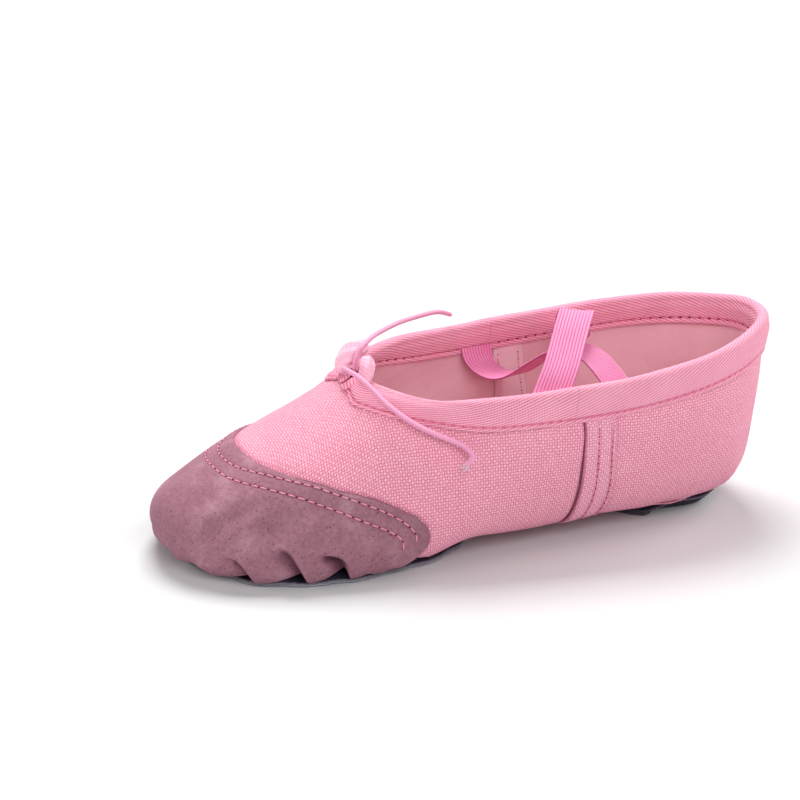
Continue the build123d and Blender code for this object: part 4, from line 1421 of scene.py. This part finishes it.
def frayed_end():
    """loose fibres at the left tail's tip"""
    tip = np.array(LEFT_TAIL[-1])
    ahead = unit(tip - np.array(LEFT_TAIL[-2]))
    fibres = []
    for i in range(16):
        shift = rng.normal(0, .32, 3)
        stray = ahead + rng.normal(0, .38, 3)
        path = [tip - ahead * .5 + shift * .8, tip + ahead * .5 + shift,
                tip + ahead * .6 + stray * rng.uniform(.7, 1.5) + shift]
        fibres.append(tube("fibre_%d" % i, path, .09, (FRAY,), sides=5, count=6))
    riding(join("drawstring_frayed_end", fibres), "left_tail", "cord")


frayed_end()

# ---------------------------------------------------------------- crossing elastics
ELASTIC_WIDTH, ELASTIC_THICK = 10.5, 0.8
RIBS = 11
RIB_HEIGHT = .17
# centre lines (x, y, z): left front to right rear, and right front to left rear
FROM_LEFT = [
    (29.9, 12, 41.4), (28.4, 13.2, 44.6), (27.0, 15.0, 48.4), (24.9, 18.0, 53.2),
    (18, 24, 60.5), (11.2, 29.2, 65.8), (8, 31.4, 67.0), (4.6, 32.8, 65.2), (-8, 38, 57.9),
    (-20, 44.5, 50.2), (-27.0, 48.4, 45.6), (-30.3, 50, 42.6)]
FROM_RIGHT = [
    (-30.8, 16.2, 44.2), (-30.2, 16.5, 41.2), (-28.4, 17.5, 38.6), (-22, 21, 36.6),
    (-12, 25, 42), (-2, 26.5, 49.5), (8, 27.5, 55.3), (17, 30.5, 57.3), (24, 34, 53.6),
    (28.4, 37.5, 47.4), (30.2, 39.6, 42.2)]
# direction of each elastic's width, away from its ends
LEFT_ACROSS, RIGHT_ACROSS = (.52, .85, 0), (-.355, .935, 0)


def ribs(part):
    """rib height, 0 to 1, at a part of the elastic's width"""
    return np.abs(np.sin(np.pi * part * RIBS)) ** .55


def elastic_span(name, path, across, start, end, count):
    """ribbed band along a part of a centre line; near both ends its width lies along y"""
    spline, length = spline_through(path)
    along = np.linspace(start, end, count) * length
    line = spline(along)
    ahead = unit(spline(along + .01) - spline(along - .01))
    from_start = np.clip(along / 9.0, 0, 1)[:, None]
    from_end = np.clip((length - along) / 9.0, 0, 1)[:, None]
    lengthwise = np.array((0, 1, 0))
    wide = (lengthwise * (1 - from_start) + np.array(across) * from_start * from_end
            + lengthwise * (1 - from_end))
    wide = unit(wide - ahead * np.sum(wide * ahead, axis=1, keepdims=True))
    out = np.cross(ahead, wide)
    place = np.linspace(-.5, .5, 100)
    ridge = ribs(place + .5)
    edge = np.clip((.5 - np.abs(place)) / .03, 0, 1) ** .5
    half = (ELASTIC_THICK / 2 - RIB_HEIGHT + RIB_HEIGHT * ridge) * (.35 + .65 * edge)
    wave = (.16 * np.sin(along * .35)[:, None] * np.cos(place * 4)
            + .10 * np.sin(along * .16 + 1)[:, None] * (place * 2))
    middle = (line[:, None] + wide[:, None] * (place * ELASTIC_WIDTH)[None, :, None]
              + out[:, None] * wave[..., None])
    thick = out[:, None] * half[None, :, None]
    uv = np.stack(np.broadcast_arrays(place * ELASTIC_WIDTH, along[:, None]), -1)
    return shell(name, middle + thick, middle - thick, out[count // 2], (ELASTIC,), uv=uv,
                 attrs={"ridge": np.broadcast_to(ridge, wave.shape)})


whole_count, half_count = ((240, 120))
# name, line, width direction, part of the line, points, node, body, blend start and end (m)
for name, path, across, start, end, count, node, body, low, high in (
        ("left", FROM_LEFT, LEFT_ACROSS, 0, 1, whole_count, "left_front_elastic",
         "elastic_a", (0, 0, .0420), (0, 0, .0540)),
        ("right_front", FROM_RIGHT, RIGHT_ACROSS, 0, .5, half_count, "right_front_elastic",
         "elastic_b", (-.0300, .0165, .041), (-.0200, .0205, .041)),
        ("right_rear", FROM_RIGHT, RIGHT_ACROSS, .5, 1, half_count, "right_front_elastic",
         "elastic_b", (.0300, .0395, .042), (.0220, .0350, .042))):
    band = elastic_span("crossing_elastic_" + name, path, across, start, end, count)
    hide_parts(node)
    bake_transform(band)


def sewn_end(name, y, side, low=13.2):
    """elastic end flat against the lining, centred at y, down to the depth `low`"""
    turns = np.linspace(.30, .66, 1441)
    edges = [-(y + ELASTIC_WIDTH / 2), -(y - ELASTIC_WIDTH / 2)]
    start, end = np.interp(edges, -surface(turns, 0.9)[:, 1], turns)
    part = np.linspace(0, 1, 80)[:, None]
    turn = on_side(np.repeat(start + (end - start) * part, 16, 1), side)
    points, out, _ = crest_frame(turn, np.linspace(5.0, low, 16))
    ridge = np.repeat(ribs(part), 16, 1)
    return shell("elastic_end_" + name, pushed(points, out, -1.72),
                 pushed(points, out, -2.15 - .14 * ridge), out[40, 8], (ELASTIC,),
                 attrs={"ridge": ridge})


flexing(sewn_end("front_left", FROM_LEFT[0][1], 1), "elastic", "elastic_front_ends")
flexing(sewn_end("front_right", 17.2, -1, low=10.9), "elastic", "elastic_front_ends")
riding(sewn_end("rear_left", FROM_RIGHT[-1][1], 1), HEEL, "elastic", "elastic_rear_ends")
riding(sewn_end("rear_right", FROM_LEFT[-1][1], -1), HEEL, "elastic", "elastic_rear_ends")


# ---------------------------------------------------------------- stitched rows on the upper
def binding_stitches(name, joined, start, end, count):
    """the outer and the inner row of one binding"""
    turn = np.linspace(start, end, count)
    reach = ROLL_OUT - .30
    points, out, _ = crest_frame(turn, outer_depth(turn, OUTER_ROW))
    outer = stitch_row("binding_row_" + name, points + out * (BINDING_MID + reach), out,
                       **BINDING_STITCH)
    points, out, _ = crest_frame(turn, INNER_ROW)
    inner = stitch_row("binding_row_in_" + name, points + out * (BINDING_MID - reach), -out,
                       **BINDING_IN_STITCH)
    return join(joined, [outer, inner])


def upper_row(name, turn, rise, offset, stitch, sign):
    """a row on the canvas (sign 1) or on a tape inside (sign -1)"""
    out = outward(turn, rise)
    return stitch_row(name, surface(turn, rise) + out * offset, out * sign, **stitch)


TAPE_STITCH_OFFSET = -2.12
TAPE_ROW_END = 10.6       # depth of a tape row's upper end

for name, start, end in (("left", SEAM_TOP + .004, THROAT - .004),
                         ("right", 2 - THROAT + .004, 2 - SEAM_TOP - .004)):
    flexing(binding_stitches(name, "binding_stitches_front_" + name, start, end, 200),
            "thread", "binding_stitching_front")
riding(binding_stitches("rear", "binding_stitches_rear", -SEAM_TOP + .004, SEAM_TOP - .004,
                        500), HEEL, "thread", "binding_stitching_rear")

rise = np.linspace(.10, float(rise_at(.47, 11.8)), 80)
rows = [upper_row("seam_row", on_side(seam_turn(rise) - behind * SIDE_TURN_MM, side), rise,
                  CANVAS_OUT + .34, SEAM_STITCH, 1)
        for _, side in SIDES for behind in SEAM_ROWS]
riding(join("side_seam_stitches", rows), HEEL, "thread", "side_seam_stitching")

rise = np.linspace(.14, float(rise_at(.47, TAPE_ROW_END)), 70)
rows = [upper_row("tape_row", on_side(seam_turn(rise) - SIDE_TAPE_TURN * part, side), rise,
                  TAPE_STITCH_OFFSET, TAPE_STITCH, -1)
        for _, side in SIDES for part in SIDE_TAPE_ROWS]
riding(join("seam_tape_stitches", rows), HEEL, "thread")

rise = np.linspace(.16, float(rise_at(0, TAPE_ROW_END)), 60)
rows = [upper_row("heel_row", np.full_like(rise, HEEL_TAPE_TURN * (2 * part - 1) % 2), rise,
                  TAPE_STITCH_OFFSET, TAPE_STITCH, -1) for part in HEEL_TAPE_ROWS]
riding(join("heel_tape_stitches", rows), HEEL, "thread")

# ---------------------------------------------------------------- soles
FORE_SOLE_THICK, HEEL_SOLE_THICK = 1.25, 1.9
# y range of the centre line each patch is drawn in to
FORE_SPINE, HEEL_SPINE = (-58, -26), (56, 74)
HEEL_SOLE_TURN = .285     # the heel patch reaches this far each way
# rings of a patch as parts of its outline, and how much the outermost three round off
PATCH_RINGS = [1.0, .995, .985, .97, .94, .88, .76, .6, .42, .22, .0]
RIM_ROUNDING = [.42, .22, .1]
RIM_SHADE = [1.0, .45, .1]


def sole_edge(turn, part):
    """x, y of the patch edge; part runs from the rise 0 line (0) to the rise .1 line (1)"""
    low, high = surface(turn, 0.0)[:, :2], surface(turn, 0.1)[:, :2]
    return low + (high - low) * part[:, None]


def close_ring(edge, bridge, count):
    """edge closed by a curve through bridge points"""
    curve = cubic(np.linspace(0, 1, 5), np.array([edge[-1], *bridge, edge[0]]))
    return np.vstack([edge, curve(np.linspace(0, 1, count))[1:-1]])


def spine_of(points, spine):
    return np.stack([points[:, 0] * 0, np.clip(points[:, 1], *spine)], -1)


def sole_patch(name, ring, thick, spine, seed, cup, wave=1.0, rim=1.0):
    """a suede patch: outline rings drawn in to a spine, with a soft frayed edge.
    cup is how far the rim is raised at each ring point."""
    draw = np.random.default_rng(seed)
    closed = np.vstack([ring, ring[:1]])
    lengths = running_length(closed)
    count = int(lengths[-1] / (.38))
    along = np.linspace(0, lengths[-1], count, endpoint=False)
    outline = np.stack([np.interp(along, lengths, closed[:, axis]) for axis in (0, 1)], -1)
    cup = np.interp(along, lengths, np.append(cup, cup[0]))
    ahead = unit(np.roll(outline, -1, 0) - np.roll(outline, 1, 0))
    out = np.stack([ahead[:, 1], -ahead[:, 0]], -1)
    if np.mean(np.sum((outline - outline.mean(0)) * out, 1)) < 0:
        out = -out
    hub = spine_of(outline, spine)
    phase = 2 * np.pi * along / lengths[-1]
    waves = sum(size * wave * np.sin(cycles * phase + draw.uniform(0, 6))
                for size, cycles in ((.30, 9), (.26, 17), (.16, 31)))
    fray = draw.normal(0, 1, count)
    fray = (fray + np.roll(fray, 1)) * .07875
    top, bottom, shade = [], [], []
    for i, part in enumerate(PATCH_RINGS):
        stray = waves * part ** 6 + fray * (part > .99)
        flat = hub + (outline - hub) * part + out * stray[:, None]
        rounding = (RIM_ROUNDING[i] if i < 3 else 0.0) * thick
        rough = draw.normal(0, .03, count) * min(1.0, 2 * part)
        raised = cup * smoothstep(.70, 1.0, part)
        thinned = .95 * smoothstep(.80, 1.0, part) * (cup > .3)
        top.append(np.column_stack([flat, thick - rounding + rough + raised]))
        bottom.append(np.column_stack([flat, rounding * .6 + np.abs(rough) * .6
                                       + raised + thinned]))
        shade.append(np.full(count, (RIM_SHADE[i] if i < 3 else 0.0) * rim))
    top, bottom = np.stack(top, 1), np.stack(bottom, 1)
    return shell(name, top, bottom, np.array([0, 0, 1.0]), (SOLE_SUEDE,), uv=top[..., :2],
                 attrs={"shade": np.stack(shade, 1)}, wrap=True)


def sole_fibres(name, ring, height, count, seed):
    """loose fibres along a patch's cut edge, each a bent three-sided hair"""
    draw = np.random.default_rng(seed)
    closed = np.vstack([ring, ring[:1]])
    lengths = running_length(closed)
    centre = ring.mean(0)
    up = np.array([0, 0, 1.0])
    verts, faces = [], []

    def at(mark):
        return np.array([np.interp(mark, lengths, closed[:, axis]) for axis in (0, 1)])

    for _ in range(count):
        mark = draw.uniform(0, lengths[-1])
        point = at(mark)
        ahead = at((mark + .5) % lengths[-1]) - point
        out = np.array([ahead[1], -ahead[0]]) / max(np.linalg.norm(ahead), 1e-6)
        if out @ (point - centre) < 0:
            out = -out
        angle = draw.normal(0, .8)
        stray = np.array([out[0] * math.cos(angle) - out[1] * math.sin(angle),
                          out[0] * math.sin(angle) + out[1] * math.cos(angle),
                          draw.normal(.05, .30)])
        length = draw.uniform(.35, 1.1)
        width = draw.uniform(.05, .10)
        root = np.array([*(point - out * .35), height + draw.uniform(-.5, .35)])
        knee = root + stray * length * .6
        tip = knee + (stray + draw.normal(0, .5, 3)) * length * .5
        across = np.cross(stray, up)
        across /= max(np.linalg.norm(across), 1e-6)
        base = len(verts)
        for joint, size in ((root, width), (knee, width * .8), (tip, width * .25)):
            joint[2] = max(joint[2], .06)
            for x, y in ((1, 0), (-.5, .8), (-.5, -.8)):
                verts.append(joint + across * x * size + up * y * size * .9)
        for j in (base, base + 3):
            for i in range(3):
                k = (i + 1) % 3
                faces.append([j + i, j + k, j + 3 + k, j + 3 + i])
        faces.append([base, base + 2, base + 1])
        faces.append([base + 6, base + 7, base + 8])
    return make_obj(name, verts, faces, None, {"shade": np.full(len(verts), 1.0)},
                    (SOLE_SUEDE,))


def sole_stitches(name, ring, spine, part):
    """a row on the underside along the outline drawn in to `part` of its size"""
    hub = spine_of(ring, spine)
    line = hub + (ring - hub) * part
    line = np.vstack([line, line[:1]])
    return stitch_row(name, np.column_stack([line, np.full(len(line), .10)]),
                      np.tile([0, 0, -1.0], (len(line), 1)), **SOLE_STITCH)


turn = np.linspace(.625, 1.375, 220)
part = (.50 + .52 * smoothstep(.670, .715, turn) * smoothstep(.905, .835, turn)
        + .45 * smoothstep(1.15, 1.20, turn) * smoothstep(1.33, 1.28, turn))
fore_ring = close_ring(sole_edge(turn, part), [(-17.5, -7.0), (0, -3.0), (17.5, -7.0)], 80)
flexing(sole_patch("forefoot_sole_suede", fore_ring, FORE_SOLE_THICK, FORE_SPINE, seed=4,
                   cup=np.zeros(len(fore_ring))), "sole_suede", "forefoot_outsole")
flexing(sole_fibres("forefoot_sole_fibres", fore_ring, height=.75,
                    count=1400, seed=12), "sole_suede")

turn = np.linspace(-HEEL_SOLE_TURN, HEEL_SOLE_TURN, 160)
part = .22 - .62 * smoothstep(.20, HEEL_SOLE_TURN, np.abs(turn))
heel_ring = close_ring(sole_edge(turn, part), [(10, 46.5), (0, 45.0), (-10, 46.5)], 60)
# the rim follows the upper where it stands higher than the patch
heel_cup = np.zeros(len(heel_ring))
heel_cup[:len(turn)] = np.maximum((surface(turn, .02)[:, 2] - HEEL_SOLE_THICK)
                                  * smoothstep(0, .05, HEEL_SOLE_TURN - np.abs(turn)), 0)
riding(sole_patch("heel_sole_suede", heel_ring, HEEL_SOLE_THICK, HEEL_SPINE, seed=6,
                  cup=heel_cup, wave=.25, rim=.25), HEEL, "sole_suede", "heel_outsole")
flexing(sole_stitches("forefoot_sole_stitches", fore_ring, FORE_SPINE, .88), "thread")
riding(sole_stitches("heel_sole_stitches", heel_ring, HEEL_SPINE, .66), HEEL, "thread")


def floor_sheet(name, turn, lift, thick, mat, shrink, seam=False, crown=0.0, edge_up=0.0):
    """a sheet between the turned-under edges; a seam adds a ridge down its centre"""
    edge = surface(turn, 0.0)[:, None]
    across = np.linspace(-1, 1, 60)
    low = np.stack(np.broadcast_arrays(
        edge[..., 0] * across * shrink, edge[..., 1],
        edge[..., 2] + lift + edge_up * abs(across) ** 8 + crown * (1 - across * across)), -1)
    x, y = low[..., 0], low[..., 1]
    shade = np.zeros(x.shape)
    if seam:
        ridge = bell(x, .9)
        folds = np.sin(y * .55 + 2.0 * np.sign(x)) * np.clip(np.abs(x) / 6, 0, 1)
        low[..., 2] += .55 * ridge + .18 * folds
        shade = ridge * .8
    else:
        low[..., 2] += .16 * soft_noise(low * 1.3)
    return shell(name, low + np.array([0, 0, thick]), low, np.array([0, 0, 1.0]), (mat,),
                 attrs={"shade": shade})


flexing(floor_sheet("arch_canvas", np.linspace(.66, .22, 90), lift=.05, thick=.5, mat=CANVAS,
                    shrink=1.04, seam=True, crown=.35), "canvas")
flexing(floor_sheet("insole_forefoot", np.linspace(.972, .4545, 90), lift=2.0, thick=1.5,
                    mat=INSOLE, shrink=.985, edge_up=.5), "insole", "forefoot_insole")
riding(floor_sheet("insole_heel", np.linspace(.4540, .05, 70), lift=2.02, thick=1.5,
                   mat=INSOLE, shrink=.97, edge_up=.5), HEEL, "insole", "heel_insole")


# ---------------------------------------------------------------- floor, light, camera
def add_floor():
    bpy.ops.mesh.primitive_plane_add(size=12, location=(0, 0, -.0002))
    floor = bpy.context.object
    floor.name = "floor"
    mat = Material("floor_white", rough=.38, spec=.25)
    mat.color((.71, .71, .72, 1))
    # the floor glows away from the slipper, so it stays white in every view
    distance = mat.run(mat.node("ShaderNodeVectorMath", operation="LENGTH"),
                       {0: mat.place()}, "Value")
    mat.shader["Emission Color"].default_value = (1, 1, 1, 1)
    mat.feed(mat.shader["Emission Strength"], mat.ramp(distance, .30, .90, 0, .95))
    floor.data.materials.append(mat.data)


def add_world():
    """white to the camera, dim as a light"""
    world = bpy.data.worlds.new("studio")
    bpy.context.scene.world = world
    world.use_nodes = True
    nodes, links = world.node_tree.nodes, world.node_tree.links
    background = nodes["Background"].inputs
    background[0].default_value = (1, 1, 1, 1)
    light_path = nodes.new("ShaderNodeLightPath")
    strength = nodes.new("ShaderNodeMapRange")
    strength.inputs[3].default_value = .14
    strength.inputs[4].default_value = 1.0
    links.new(light_path.outputs["Is Camera Ray"], strength.inputs[0])
    links.new(strength.outputs[0], background[1])


def softbox(name, place, aim, size, power):
    """rectangular light; metres and watts"""
    data = bpy.data.lights.new(name, "AREA")
    data.shape = "RECTANGLE"
    data.size, data.size_y = size
    data.energy = power
    light = bpy.data.objects.new(name, data)
    bpy.context.scene.collection.objects.link(light)
    light.location = place
    light.rotation_euler = (Vector(aim) - Vector(place)).to_track_quat("-Z", "Y").to_euler()


def add_camera(azimuth, elevation, roll, distance, shift_right, shift_up, lens):
    """angles in degrees, azimuth from -Y towards +X; the shifts move the view in its plane"""
    azimuth, elevation, roll = (math.radians(a) for a in (azimuth, elevation, roll))
    back = Vector((math.sin(azimuth) * math.cos(elevation),
                   -math.cos(azimuth) * math.cos(elevation), math.sin(elevation)))
    level = Vector((math.cos(azimuth), math.sin(azimuth), 0))
    upright = back.cross(level)
    right = math.cos(roll) * level + math.sin(roll) * upright
    up = -math.sin(roll) * level + math.cos(roll) * upright
    place = Vector((0, 0, 25)) + back * distance + right * shift_right + up * shift_up
    data = bpy.data.cameras.new("photo_view")
    data.lens, data.sensor_width = lens, 36
    data.clip_start, data.clip_end = .01, 50
    camera = bpy.data.objects.new("photo_view", data)
    bpy.context.scene.collection.objects.link(camera)
    pose = Matrix((right, up, back)).transposed().to_4x4()
    pose.translation = place * MM
    camera.matrix_world = pose
    bpy.context.scene.camera = camera


add_floor()
bpy.context.scene.view_settings.view_transform = "Standard"
add_world()
softbox("key", place=(-.50, .08, .90), aim=(0, 0, .02), size=(.55, .55), power=12.0)
softbox("rear", place=(-.10, .98, .60), aim=(0, 0, .03), size=(.7, .6), power=6.5)
softbox("toe_side", place=(-.10, -.98, .50), aim=(0, 0, .03), size=(.7, .5), power=4.0)
softbox("front", place=(1.00, -.10, .75), aim=(0, 0, .03), size=(.9, .7), power=8.6)
add_camera(azimuth=67.5, elevation=20.894, roll=1.829, distance=779.19,
           shift_right=-20.004, shift_up=12.83, lens=114.46)
